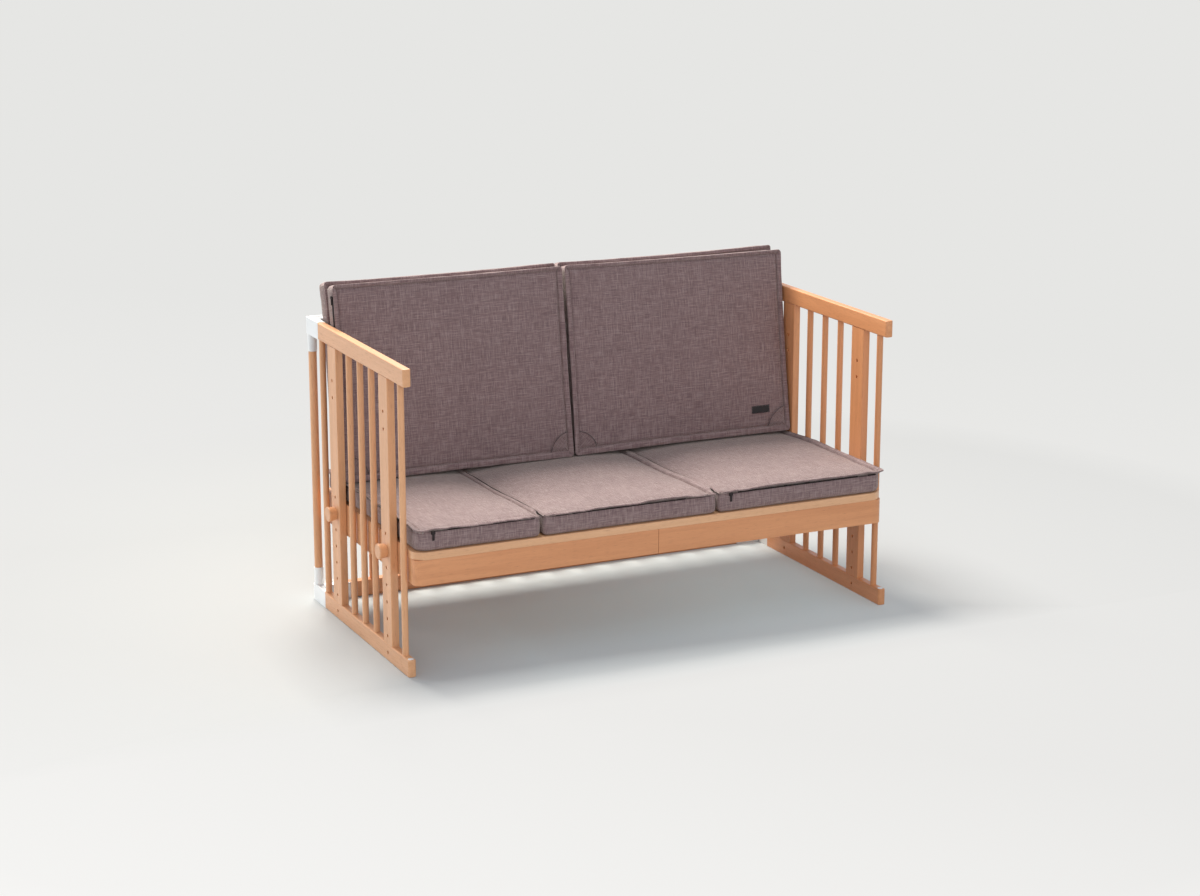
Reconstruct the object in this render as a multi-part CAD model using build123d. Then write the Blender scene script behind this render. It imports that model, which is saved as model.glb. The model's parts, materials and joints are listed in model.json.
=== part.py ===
from build123d import *
import os

# A cot bed set up as a sofa: two barred end frames, a barred back, a height-adjustable
# base held by four hand screws, and loose pads on the base and against the back.
# Lengths are in millimetres. The origin is on the floor, in the middle of the part's
# width and depth. X runs along the sofa, Y from front to rear and Z upwards.

# Whole frame
frame_width = 1232.0
frame_height = 700.0
frame_depth = 640.0
pad_front_reach = 6.0

# Rails of the two end frames
rail_thick = 19.0
rail_tall = 40.0
rail_edge_radius = 2.5
rail_front_radius = 6.0

# Uprights of an end frame. The outer bars stand this far in from the rails' front ends and
# from the frame's rear, and the rest are spread between them in fixed shares.
first_dowel_inset = 42.0
last_dowel_inset = 88.0
dowel_share = 0.2863
board_share = 0.6549
dowel_diameter = 15.0
board_wide = 55.0
board_thick = 18.0
board_edge_radius = 2.0
socket_depth = 12.0
socket_gap = 0.1
socket_end_gap = 0.5
tenon_thick = 9.0
tenon_shoulder = 7.0

# Holes for the base's screws, counted up from the floor in equal steps
hole_radius = 4.0
hole_pitch = 40.0
hole_first = 20.0
hole_steps = (1, 2, 3, 4, 5, 6, 7, 13, 14)
base_hole_count = 6

# Rear fence, with its rails' ends measured in from the frame's sides
fence_rail_thick = 24.0
fence_rail_inset = 54.5
fence_dowel_count = 15
fence_dowel_inset = 11.3

# White corner brackets that join the end frames to the rear fence
bracket_leg_long = 82.0
bracket_lip = 3.0
bracket_rear_wall = 11.0
bracket_corner_radius = 4.0
bracket_rim = 4.0
bracket_recess = 3.0
bracket_gap = 0.2
collar_radius = 11.2
collar_long = 42.0
post_radius = 9.9
post_gap = 0.1
post_seat_depth = 10.0

# Bolts that hold the brackets to the rails
bolt_radius = 3.0
bolt_head_radius = 5.0
bolt_head_thick = 2.0
bolt_gap = 0.1
side_bolt_grip = 45.0
fence_bolt_grip = 12.0
fence_bolt_inset = 68.0

# White plugs in the rails' front ends, where a front post would stand
plug_radius = 6.5
plug_inset = 10.5
plug_depth = 12.0
plug_proud = 0.8

# Hand screws
knob_base_radius = 15.0
knob_face_radius = 18.5
knob_long = 20.0
knob_edge_radius = 2.5
knob_gap = 0.3
screw_radius = 3.9
screw_in_knob = 11.0
screw_past_board = 4.0
insert_radius = 6.0
insert_long = 14.0

# Base: its front line is measured from the rails' front ends, its rear from the fence and
# its height from its screws
base_gap = 0.3
base_reach = 3.0
base_rear_gap = 5.0
base_tall = 76.0
base_screw_drop = 26.0
base_board_thick = 18.0
base_edge_radius = 1.5
ledge_thick = 18.0
ledge_wide = 60.0
ledge_reach = 2.0
ledge_corner_radius = 30.0
ledge_side_long = 47.0
front_board_radius = 16.0
joint_gap = 1.0
slat_thick = 12.0
slat_wide = 55.0
slat_count = 7
slat_edge_radius = 1.5
cleat_size = 15.0

# Pads shared by the seat and the back
pad_flange_thick = 2.5
pad_flange_reach = 3.0
pad_draw_in = 3.5
pad_end_gap = 1.0
pad_small_corner = 6.0
pad_rest_gap = 0.3
pad_sections = 5

# Seat pads, laid side by side on the base
seat_pad_thick = 49.0
seat_pad_crown = 6.0
seat_rear_gap = 9.0
seat_pad_corner = 28.0
seat_seam_gap = 0.6
seat_short_section = 305.0
base_to_pad = 0.3

# Back pads, two deep and two across, leaning on the rear fence
back_lean = 7.2
back_pad_tall = 455.0
back_pad_thick = 54.0
back_pad_crown = 7.0
back_pad_corner = 10.0
back_layer_gap = 3.6
back_centre_gap = 6.0

# Zip pulls
pull_wide = 9.0
pull_tall = 7.0
pull_thick = 3.0
pull_tab_wide = 5.0
pull_tab_long = 17.0
pull_tab_thick = 1.4
seat_pull_insets = {"left": 42.0, "right": 33.0}
back_pull_drop = 30.0
back_pull_inset = 15.0

# One overrun serves every cut that runs past a face
cut_over = 1.0

# Planes and places that follow from the sizes above
overall_depth = frame_depth + pad_front_reach
rail_front_y = pad_front_reach - overall_depth / 2
frame_rear_y = rail_front_y + frame_depth
rail_centre_x = (frame_width - rail_thick) / 2
rail_inner_x = frame_width / 2 - rail_thick
board_outer_x = rail_centre_x + board_thick / 2
board_inner_x = rail_centre_x - board_thick / 2
fence_rail_half = frame_width / 2 - fence_rail_inset
fence_bolt_place = frame_width / 2 - fence_bolt_inset
bracket_leg_end = frame_width / 2 - bracket_leg_long
fence_dowel_pitch = 2 * (fence_rail_half - fence_dowel_inset) / (fence_dowel_count - 1)
top_rail_z = frame_height - rail_tall
dowel_radius = dowel_diameter / 2
socket_radius = dowel_radius + socket_gap
side_rail_end_y = frame_rear_y - last_dowel_inset
outer_dowel_offset = (frame_depth - first_dowel_inset - last_dowel_inset) / 2
dowel_offset = outer_dowel_offset * dowel_share
board_offset = outer_dowel_offset * board_share
upright_middle_y = side_rail_end_y - outer_dowel_offset
bracket_front_y = frame_rear_y - bracket_lip - fence_rail_thick - bracket_rear_wall
fence_rail_y = (bracket_front_y + bracket_lip, frame_rear_y - bracket_rear_wall)
fence_middle_y = sum(fence_rail_y) / 2
post_x = frame_width / 2 - collar_radius
post_y = frame_rear_y - collar_radius
base_screw_z = hole_first + base_hole_count * hole_pitch
base_top_z = base_screw_z + base_screw_drop
base_bottom_z = base_top_z - base_tall
ledge_bottom_z = base_top_z - ledge_thick
slat_bottom_z = base_top_z - slat_thick
base_half_width = board_inner_x - base_gap
base_front_y = rail_front_y - base_reach
base_rear_y = bracket_front_y - base_rear_gap
front_board_rear_y = base_front_y + base_board_thick
ledge_front_y = base_front_y - ledge_reach
ledge_rear_y = ledge_front_y + ledge_wide
side_inner_x = base_half_width - base_board_thick
rear_board_front_y = base_rear_y - base_board_thick
pad_half_width = rail_inner_x - pad_end_gap
seat_z = base_top_z + base_to_pad
seat_front_y = rail_front_y - pad_front_reach + pad_flange_reach
seat_rear_y = bracket_front_y - seat_rear_gap - pad_flange_reach
seat_pad_depth = seat_rear_y - seat_front_y

SIDES = {"left": -1, "right": 1}
DOWEL_PLACES = (-outer_dowel_offset, -dowel_offset, 0, dowel_offset, outer_dowel_offset)
BOARD_PLACES = {"front": -board_offset, "rear": board_offset}


def block(x, y, z):
    """A box between two corners, where x, y and z are each a pair of ends."""
    spans = (x, y, z)
    size = [abs(b - a) for a, b in spans]
    centre = [(a + b) / 2 for a, b in spans]
    return Pos(*centre) * Box(*size)


def rod(start, direction, radius, length):
    """A round rod that starts at a point and runs along a direction."""
    plane = Plane(origin=start, z_dir=direction)
    return plane * extrude(Circle(radius), amount=length)


def upright_y(place):
    """The Y of an upright that stands at a place counted from the middle upright."""
    return upright_middle_y + place


def hole_z(step):
    """The height of a screw hole, by its step above the lowest one."""
    return hole_first + step * hole_pitch


def eased(solid, axis, radius):
    """The solid with its edges along an axis rounded."""
    return fillet(solid.edges().filter_by(axis), radius)


def end_rail_bar(low):
    """A side rail with rounded front corners and a half-round rear end."""
    half = rail_thick / 2
    long = side_rail_end_y - rail_front_y
    bar = Pos(0, rail_front_y + long / 2) * Rectangle(rail_thick, long)
    front = bar.vertices().sort_by(Axis.Y)[:2]
    outline = fillet(front, rail_front_radius) + Pos(0, side_rail_end_y) * Circle(half)
    rail = extrude(outline, amount=rail_tall)
    rims = rail.faces().sort_by(Axis.Z)
    rail = fillet(rims[0].edges() + rims[-1].edges(), rail_edge_radius)
    return Pos(rail_centre_x, 0, low) * rail


def mortise(y, z):
    """The pocket in a rail for the tenon of a holed board."""
    reach = board_wide / 2 - tenon_shoulder + socket_gap
    deep = tenon_thick / 2 + socket_gap
    return block((rail_centre_x - deep, rail_centre_x + deep), (y - reach, y + reach), z)


def end_rail(level, side):
    """A top or bottom rail of an end frame, with its sockets, holes and front plug hole."""
    top = level == "top"
    low = top_rail_z if top else 0
    mouth = top_rail_z if top else rail_tall
    up = 1 if top else -1
    rail = end_rail_bar(low)
    cuts = [rod((rail_centre_x, upright_y(p), mouth), (0, 0, up), socket_radius, socket_depth)
            for p in DOWEL_PLACES]
    cuts += [mortise(upright_y(p), (mouth, mouth + up * socket_depth)) for p in BOARD_PLACES.values()]
    cuts.append(rod((rail_centre_x, rail_front_y + plug_inset, mouth), (0, 0, up),
                    plug_radius, plug_depth))
    cuts.append(rod((rail_centre_x, side_rail_end_y + rail_thick / 2 + cut_over, low + rail_tall / 2),
                    (0, -1, 0), bolt_radius + bolt_gap, side_bolt_grip + cut_over))
    if not top:
        cuts += [rod((rail_inner_x - cut_over, upright_y(p), hole_first), (1, 0, 0), hole_radius,
                     rail_thick + 2 * cut_over) for p in BOARD_PLACES.values()]
    return placed(rail - cuts, side)


def placed(solid, side):
    """A solid made for the right-hand end, put on the side that is named."""
    return solid if SIDES[side] > 0 else mirror(solid, about=Plane.YZ)


def holed_board(place, side):
    """A wide upright with the row of screw holes and a tenon at each end."""
    y = upright_y(BOARD_PLACES[place])
    half = board_wide / 2
    board = block((board_inner_x, board_outer_x), (y - half, y + half), (rail_tall, top_rail_z))
    board = eased(board, Axis.Z, board_edge_radius)
    reach = half - tenon_shoulder
    deep = tenon_thick / 2
    tenon_end = socket_depth - socket_end_gap
    board += block((rail_centre_x - deep, rail_centre_x + deep), (y - reach, y + reach),
                   (rail_tall - tenon_end, top_rail_z + tenon_end))
    holes = [rod((board_inner_x - cut_over, y, hole_z(step)), (1, 0, 0), hole_radius,
                 board_thick + 2 * cut_over) for step in hole_steps]
    return placed(board - holes, side)


def end_dowel(place, side):
    """A round bar of an end frame, let into both rails."""
    tip = socket_depth - socket_end_gap
    start = (rail_centre_x, upright_y(place), rail_tall - tip)
    return placed(rod(start, (0, 0, 1), dowel_radius, top_rail_z - rail_tall + 2 * tip), side)


def fence_places():
    """The X of each bar of the rear fence."""
    middle = (fence_dowel_count - 1) / 2
    return [(k - middle) * fence_dowel_pitch for k in range(fence_dowel_count)]


def fence_rail(level):
    """The top or bottom rail of the rear fence, with its sockets."""
    top = level == "top"
    low = top_rail_z if top else 0
    mouth = top_rail_z if top else rail_tall
    up = 1 if top else -1
    rail = block((-fence_rail_half, fence_rail_half), fence_rail_y, (low, low + rail_tall))
    rail = eased(rail, Axis.X, rail_edge_radius)
    cuts = [rod((x, fence_middle_y, mouth), (0, 0, up), socket_radius, socket_depth)
            for x in fence_places()]
    cuts += [rod((s * fence_bolt_place, fence_rail_y[1] + cut_over, low + rail_tall / 2), (0, -1, 0),
                 bolt_radius + bolt_gap, fence_bolt_grip + cut_over) for s in SIDES.values()]
    return rail - cuts


def fence_dowels():
    """All round bars of the rear fence."""
    tip = socket_depth - socket_end_gap
    long = top_rail_z - rail_tall + 2 * tip
    return [rod((x, fence_middle_y, rail_tall - tip), (0, 0, 1), dowel_radius, long)
            for x in fence_places()]


def bracket_block(low):
    """The L-shaped block of a corner bracket, with its rounded outer corner."""
    high = low + rail_tall
    outer = frame_width / 2
    side_leg = block((rail_inner_x, outer), (side_rail_end_y, frame_rear_y), (low, high))
    rear_leg = block((bracket_leg_end, outer), (bracket_front_y, frame_rear_y), (low, high))
    body = side_leg + rear_leg
    corner = body.edges().filter_by(Axis.Z).sort_by(Axis.X)[-2:].sort_by(Axis.Y)[-1]
    return fillet(corner, bracket_corner_radius)


def bracket_cuts(low):
    """The cup for the side rail, the slot for the fence rail and the sunk top."""
    high = low + rail_tall
    cup_radius = rail_thick / 2 + bracket_gap
    cup = rod((rail_centre_x, side_rail_end_y, low - cut_over), (0, 0, 1), cup_radius,
              rail_tall + 2 * cut_over)
    slot = block((bracket_leg_end - cut_over, fence_rail_half + bracket_gap),
                 (fence_rail_y[0] - bracket_gap, fence_rail_y[1] + bracket_gap),
                 (low - cut_over, high + cut_over))
    rim_x = (fence_rail_half + bracket_gap + bracket_rim, frame_width / 2 - bracket_rim)
    rim_y = (side_rail_end_y + cup_radius + bracket_rim, frame_rear_y - bracket_rim)
    sunk = (high - bracket_recess, high + cut_over)
    along_side = block((rail_inner_x + bracket_rim, rim_x[1]), rim_y, sunk)
    along_rear = block(rim_x, (bracket_front_y + bracket_rim, rim_y[1]), sunk)
    return [cup, slot, along_side, along_rear]


def bolt_holes(low):
    """The two bolt holes of a bracket, each with its counterbore in the rear face."""
    middle = low + rail_tall / 2
    holes = []
    for x in (rail_centre_x, fence_bolt_place):
        face = (x, frame_rear_y + cut_over, middle)
        holes.append(rod(face, (0, -1, 0), bolt_radius + bolt_gap,
                         frame_rear_y - side_rail_end_y if x == rail_centre_x
                         else bracket_rear_wall + 2 * cut_over))
        holes.append(rod(face, (0, -1, 0), bolt_head_radius + bolt_gap,
                         bolt_head_thick + bolt_gap + cut_over))
    return holes


def corner_bracket(level, side):
    """A white corner bracket with the collar that holds the end of the corner post."""
    top = level == "top"
    low = top_rail_z if top else 0
    body = bracket_block(low) - bracket_cuts(low) - bolt_holes(low)
    floor = top_rail_z + bracket_recess if top else rail_tall - bracket_recess - cut_over
    end = top_rail_z - collar_long if top else rail_tall + collar_long
    up = 1 if end > floor else -1
    body += rod((post_x, post_y, floor), (0, 0, up), collar_radius, abs(end - floor))
    seat = top_rail_z + post_seat_depth if top else rail_tall - post_seat_depth
    body -= rod((post_x, post_y, end + up * cut_over), (0, 0, -up), post_radius + post_gap,
                abs(seat - end) + cut_over)
    return placed(body, side)


def corner_post(side):
    """The round wooden post between the two brackets of a rear corner."""
    low = rail_tall - post_seat_depth + socket_end_gap
    high = top_rail_z + post_seat_depth - socket_end_gap
    return placed(rod((post_x, post_y, low), (0, 0, 1), post_radius, high - low), side)


def bracket_bolts():
    """The bolts that hold the brackets to the rails, two at each bracket."""
    bolts = []
    for low in (0, top_rail_z):
        middle = low + rail_tall / 2
        for x, into in ((rail_centre_x, side_rail_end_y + rail_thick / 2 - side_bolt_grip),
                        (fence_bolt_place, fence_rail_y[1] - fence_bolt_grip)):
            face = frame_rear_y - bolt_gap
            shank = rod((x, face, middle), (0, -1, 0), bolt_radius, face - into - bolt_gap)
            bolt = shank + rod((x, face, middle), (0, -1, 0), bolt_head_radius, bolt_head_thick)
            bolts += [bolt, mirror(bolt, about=Plane.YZ)]
    return bolts


def rail_end_plugs():
    """The white plugs that close the post holes in the rails' front ends."""
    plugs = []
    for mouth, up in ((rail_tall, -1), (top_rail_z, 1)):
        start = (rail_centre_x, rail_front_y + plug_inset, mouth - up * plug_proud)
        plug = rod(start, (0, 0, up), plug_radius - socket_gap, plug_depth + plug_proud - socket_end_gap)
        rim = plug.faces().sort_by(Axis.Z)[-1 if up < 0 else 0].edges()
        plug = fillet(rim, plug_proud)
        plugs += [plug, mirror(plug, about=Plane.YZ)]
    return plugs


def knob(place, side):
    """The turned wooden head of a hand screw, wider at its outer face."""
    y = upright_y(BOARD_PLACES[place])
    base = Plane(origin=(board_outer_x + knob_gap, y, base_screw_z), z_dir=(1, 0, 0))
    head = base * loft([Circle(knob_base_radius), Pos(0, 0, knob_long) * Circle(knob_face_radius)])
    head = fillet(head.faces().sort_by(Axis.X)[-1].edges(), knob_edge_radius)
    bore = rod((board_outer_x, y, base_screw_z), (1, 0, 0), screw_radius + socket_gap,
               screw_in_knob + knob_gap)
    return placed(head - bore, side)


def knob_screw(place, side):
    """The steel screw of a hand screw, from its head through the board into the base."""
    y = upright_y(BOARD_PLACES[place])
    start = side_inner_x - screw_past_board
    end = board_outer_x + screw_in_knob
    return placed(rod((start, y, base_screw_z), (1, 0, 0), screw_radius, end - start), side)


def threaded_inserts():
    """The metal inserts in the base that the four screws run into."""
    inserts = []
    for place in BOARD_PLACES.values():
        start = (base_half_width, upright_y(place), base_screw_z)
        tube = rod(start, (-1, 0, 0), insert_radius, insert_long)
        bore = rod((base_half_width + cut_over, upright_y(place), base_screw_z), (-1, 0, 0), hole_radius,
                   insert_long + 2 * cut_over)
        insert = tube - bore
        inserts += [insert, mirror(insert, about=Plane.YZ)]
    return inserts


def base_ledge():
    """The strip along the top of the base's front, with round corners in plan."""
    width = 2 * base_half_width + ledge_reach
    strip = Pos(0, (ledge_front_y + ledge_rear_y) / 2) * Rectangle(width, ledge_wide)
    strip = fillet(strip.vertices().sort_by(Axis.Y)[:2], ledge_corner_radius)
    ledge = extrude(Pos(0, 0, ledge_bottom_z) * strip, amount=ledge_thick)
    notch_y = (ledge_front_y + ledge_side_long, ledge_rear_y + cut_over)
    for s in SIDES.values():
        ledge -= block((s * side_inner_x, s * width), notch_y,
                       (ledge_bottom_z - cut_over, base_top_z + cut_over))
    return fillet(ledge.faces().sort_by(Axis.Y)[0].edges().filter_by(Axis.X), base_edge_radius)


def front_board(side):
    """One of the two boards of the base's front, round at its outer end."""
    board = block((joint_gap / 2, base_half_width), (base_front_y, front_board_rear_y),
                  (base_bottom_z, ledge_bottom_z))
    corner = board.edges().filter_by(Axis.Z).sort_by(Axis.X)[-2:].sort_by(Axis.Y)[0]
    board = fillet(corner, front_board_radius)
    return placed(board, side)


def side_board(side):
    """A side of the base, notched under the ledge and drilled for its two inserts."""
    board = block((side_inner_x, base_half_width), (front_board_rear_y, base_rear_y),
                  (base_bottom_z, base_top_z))
    notch_rear = ledge_front_y + ledge_side_long
    board -= block((side_inner_x - cut_over, base_half_width + cut_over),
                   (front_board_rear_y - cut_over, notch_rear), (ledge_bottom_z, base_top_z + cut_over))
    for place in BOARD_PLACES.values():
        start = (base_half_width + cut_over, upright_y(place), base_screw_z)
        board -= rod(start, (-1, 0, 0), insert_radius, insert_long + cut_over)
        board -= rod(start, (-1, 0, 0), hole_radius, base_board_thick + 2 * cut_over)
    return placed(board, side)


def rear_board():
    """The board across the base's rear."""
    return block((-side_inner_x, side_inner_x), (rear_board_front_y, base_rear_y),
                 (base_bottom_z, base_top_z))


def centre_beams():
    """The two beams under the middle, where the halves of the base meet."""
    beam = block((joint_gap / 2, joint_gap / 2 + base_board_thick),
                 (front_board_rear_y, rear_board_front_y), (base_bottom_z, slat_bottom_z))
    beam -= block((0, side_inner_x), (front_board_rear_y - cut_over, ledge_rear_y),
                  (ledge_bottom_z, base_top_z))
    return [beam, mirror(beam, about=Plane.YZ)]


def slat_cleats():
    """The strips inside the side boards that carry the slats' ends."""
    cleat = block((side_inner_x - cleat_size, side_inner_x), (ledge_rear_y, rear_board_front_y),
                  (slat_bottom_z - cleat_size, slat_bottom_z))
    y_screws = [upright_y(p) for p in BOARD_PLACES.values()]
    for y in y_screws:
        cleat -= rod((side_inner_x + cut_over, y, base_screw_z), (-1, 0, 0), hole_radius,
                     cleat_size + 2 * cut_over)
    return [cleat, mirror(cleat, about=Plane.YZ)]


def slats():
    """The slats under the seat, in two rows that meet over the centre beams."""
    room = rear_board_front_y - ledge_rear_y
    gap = (room - slat_count * slat_wide) / (slat_count + 1)
    row = []
    for k in range(slat_count):
        y = ledge_rear_y + gap + k * (slat_wide + gap)
        slat = block((joint_gap / 2, side_inner_x), (y, y + slat_wide), (slat_bottom_z, base_top_z))
        slat = eased(slat, Axis.X, slat_edge_radius)
        row += [slat, mirror(slat, about=Plane.YZ)]
    return row


def pad_outline(long, wide, corners):
    """A pad seen from above: four sides drawn in between rounded corners.

    The outline is centred, and corners gives the radius at the low-low, high-low,
    high-high and low-high corner.
    """
    a, b = long / 2, wide / 2
    d = pad_draw_in
    places = [(-a, -b), (a, -b), (a, b), (-a, b)]
    middles = [(0, -b + d), (a - d, 0), (0, b - d), (-a + d, 0)]
    sides = [ThreePointArc(places[k], middles[k], places[(k + 1) % 4]) for k in range(4)]
    outline = make_face(sides)
    for place, radius in zip(places, corners):
        corner = outline.vertices().sort_by_distance((*place, 0))[0]
        outline = fillet(corner, radius)
    return outline


def pad_swell(long, wide, thick, crown):
    """A block with a crowned top, lofted through rows of lines and arcs."""
    a, b = long / 2 + cut_over, wide / 2 + cut_over
    least = crown / (2 * pad_sections)
    rows = []
    for k in range(pad_sections):
        share = 2 * k / (pad_sections - 1) - 1
        rise = least + (crown - least) * (1 - share * share)
        low, high = (-b, 0), (b, 0)
        profile = make_face([Line(low, high), Line(high, (b, thick)),
                             ThreePointArc((b, thick), (0, thick + rise), (-b, thick)),
                             Line((-b, thick), low)])
        rows.append(Plane(origin=(share * a, 0, 0), x_dir=(0, 1, 0), z_dir=(1, 0, 0)) * profile)
    return loft(rows)


def pad(long, wide, thick, crown, corners, flange=True):
    """A padded cushion lying flat, centred on the origin, with its flange at the top edge."""
    outline = pad_outline(long, wide, corners)
    tall = thick + 2 * crown + cut_over
    body = extrude(outline, amount=tall) & pad_swell(long, wide, thick, crown)
    if flange:
        grown = [radius + pad_flange_reach for radius in corners]
        rim = pad_outline(long + 2 * pad_flange_reach, wide + 2 * pad_flange_reach, grown)
        body += Pos(0, 0, thick - pad_flange_thick) * extrude(rim, amount=pad_flange_thick)
    return body


def seat_sections():
    """The X spans of the three seat sections, flanges included, by name."""
    first = -pad_half_width
    short = first + seat_short_section
    long = (pad_half_width - short - 2 * seat_seam_gap) / 2
    middle = short + seat_seam_gap
    last = middle + long + seat_seam_gap
    return {"left": (first, short), "middle": (middle, middle + long), "right": (last, pad_half_width)}


def seat_pad(name):
    """One section of the seat pad, on top of the base."""
    low, high = seat_sections()[name]
    long = high - low - 2 * pad_flange_reach
    big, small = seat_pad_corner, pad_small_corner
    corners = {"left": (big, small, small, big), "middle": (small, small, small, small),
               "right": (small, big, big, small)}[name]
    solid = pad(long, seat_pad_depth, seat_pad_thick, seat_pad_crown, corners)
    return Pos((low + high) / 2, seat_front_y + seat_pad_depth / 2, seat_z) * solid


def seat_top(y):
    """The height of the seat pads' crowned top over a Y, in the middle of a section."""
    share = (y - seat_front_y) / (seat_pad_depth / 2) - 1
    return seat_z + seat_pad_thick + seat_pad_crown * (1 - share * share)


def back_plane(layer):
    """The leaning plane that a layer of back pads lies on, with its origin at the pads' foot.

    Its X is the part's X, its Y runs up the lean and its Z points forwards. The rear layer
    leans on the top brackets, and each layer's foot stands on the seat pads.
    """
    lean = Plane(origin=(0, bracket_front_y - pad_rest_gap, frame_height), x_dir=(1, 0, 0),
                 z_dir=Vector(0, -1, 0).rotate(Axis.X, -back_lean))
    face = lean.origin + lean.z_dir * (layer * (back_pad_thick + back_layer_gap))
    near = face - lean.y_dir * ((face.Z - seat_z - seat_pad_thick) / lean.y_dir.Z)
    foot = face - lean.y_dir * ((face.Z - seat_top(near.Y) - pad_rest_gap) / lean.y_dir.Z)
    return Plane(origin=foot, x_dir=(1, 0, 0), z_dir=lean.z_dir)


def back_pad(layer, side):
    """A back pad: the rear layer is flat on both faces, the front one is crowned."""
    long = pad_half_width - back_centre_gap / 2 - 2 * pad_flange_reach
    tall = back_pad_tall - 2 * pad_flange_reach
    crown = back_pad_crown if layer else back_layer_gap - pad_rest_gap
    solid = pad(long, tall, back_pad_thick, crown, [back_pad_corner] * 4)
    centre = (pad_half_width + back_centre_gap / 2) / 2
    return back_plane(layer) * Pos(SIDES[side] * centre, back_pad_tall / 2, 0) * solid


def zip_pull(plane):
    """A zip slider with its tab hanging down, on a plane whose Y runs up the tab."""
    slider = Pos(0, 0, pull_thick / 2) * Box(pull_wide, pull_tall, pull_thick)
    drop = (pull_tall + pull_tab_long) / 2 - pull_thick
    tab = Pos(0, -drop, pull_thick - pull_tab_thick / 2) * Box(pull_tab_wide, pull_tab_long, pull_tab_thick)
    return plane * (slider + tab)


def seat_zip_pull(side):
    """The zip pull at the left end of the left or right seat section's front."""
    x = seat_sections()[side][0] + seat_pull_insets[side]
    z = seat_z + seat_pad_thick - pad_flange_thick - pad_rest_gap - pull_tall / 2
    return zip_pull(Plane(origin=(x, seat_front_y - pad_rest_gap, z), x_dir=(1, 0, 0), z_dir=(0, -1, 0)))


def back_zip_pull():
    """The zip pull on the outer edge of the left front back pad."""
    plane = back_plane(1)
    x = -pad_half_width + pad_flange_reach - pad_rest_gap
    up = back_pad_tall - back_pull_drop
    out = back_pad_thick - back_pull_inset
    origin = plane.origin + plane.x_dir * x + plane.y_dir * up + plane.z_dir * out
    return zip_pull(Plane(origin=origin, x_dir=plane.z_dir, z_dir=(-1, 0, 0)))


def write(node, shape):
    """Write one node, as a single solid or as a group of separate ones."""
    if isinstance(shape, list):
        shape = Compound(children=[solid for piece in shape for solid in piece.solids()])
    export_step(shape, os.path.join("parts", node + ".step"))


def main():
    """Build every node and write it to its own file."""
    os.makedirs("parts", exist_ok=True)
    for side in SIDES:
        for level in ("top", "bottom"):
            write(f"end_{level}_rail_{side}", end_rail(level, side))
            write(f"corner_bracket_{level}_{side}", corner_bracket(level, side))
        for place in BOARD_PLACES:
            write(f"holed_board_{place}_{side}", holed_board(place, side))
            write(f"knob_{place}_{side}", knob(place, side))
            write(f"knob_screw_{place}_{side}", knob_screw(place, side))
        for number, place in enumerate(DOWEL_PLACES, start=1):
            write(f"end_dowel_{number}_{side}", end_dowel(place, side))
        write(f"corner_post_{side}", corner_post(side))
        write(f"front_board_{side}", front_board(side))
        write(f"side_board_{side}", side_board(side))
        write(f"back_pad_front_{side}", back_pad(1, side))
        write(f"back_pad_rear_{side}", back_pad(0, side))
        write(f"seat_zip_pull_{side}", seat_zip_pull(side))
    for level in ("top", "bottom"):
        write(f"rear_{level}_rail", fence_rail(level))
    for name in seat_sections():
        write(f"seat_pad_{name}", seat_pad(name))
    write("rear_dowels", fence_dowels())
    write("bracket_bolts", bracket_bolts())
    write("rail_end_plugs", rail_end_plugs())
    write("threaded_inserts", threaded_inserts())
    write("front_ledge", base_ledge())
    write("rear_board", rear_board())
    write("centre_beams", centre_beams())
    write("slat_cleats", slat_cleats())
    write("slats", slats())
    write("back_zip_pull", back_zip_pull())


main()
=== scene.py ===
"""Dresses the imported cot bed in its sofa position, in metres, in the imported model's own frame.

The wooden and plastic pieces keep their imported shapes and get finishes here. The seat and
back pads are made here as sewn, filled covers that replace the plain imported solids.
"""

import json
import logging
import math
from dataclasses import astuple, dataclass, field
from enum import Enum
from itertools import product

import bmesh
import bpy
import numpy as np
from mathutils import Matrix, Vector, noise
from mathutils.bvhtree import BVHTree


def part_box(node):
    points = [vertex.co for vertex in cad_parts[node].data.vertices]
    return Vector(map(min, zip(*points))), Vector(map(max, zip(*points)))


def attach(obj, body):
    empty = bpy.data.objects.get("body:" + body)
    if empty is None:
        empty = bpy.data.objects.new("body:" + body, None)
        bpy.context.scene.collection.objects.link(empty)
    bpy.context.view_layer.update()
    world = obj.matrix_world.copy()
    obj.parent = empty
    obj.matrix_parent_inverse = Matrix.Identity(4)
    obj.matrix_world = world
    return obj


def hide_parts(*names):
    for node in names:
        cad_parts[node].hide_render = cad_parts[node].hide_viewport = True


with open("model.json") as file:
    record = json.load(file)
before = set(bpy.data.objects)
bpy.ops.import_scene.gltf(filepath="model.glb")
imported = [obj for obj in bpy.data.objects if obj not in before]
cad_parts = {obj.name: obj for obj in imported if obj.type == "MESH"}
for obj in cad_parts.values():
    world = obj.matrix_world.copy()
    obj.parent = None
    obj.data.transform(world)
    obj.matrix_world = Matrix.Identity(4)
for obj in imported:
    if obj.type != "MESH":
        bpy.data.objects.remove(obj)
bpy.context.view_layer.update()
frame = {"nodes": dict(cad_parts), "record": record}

LOG = logging.getLogger("cot_bed")
MM = 0.001
FILL_FRAMES = 20
CORNERS = ((-1, -1), (1, -1), (1, 1), (-1, 1))
RAY_RISE = 0.05
STILL = (0.0, 0.0, 0.0)
ZIP_SLOT = "black_zip"
CLOTH = {"quality": 4, "mass": 0.3, "tension_stiffness": 12, "compression_stiffness": 8,
         "shear_stiffness": 5, "bending_stiffness": 0.6, "use_pressure": True,
         "uniform_pressure_force": 4.0, "vertex_group_mass": "held"}

Colour = tuple[float, float, float]
Triple = tuple[float, float, float]
Span = tuple[float, float]
Line = tuple[np.ndarray, bool]


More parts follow.
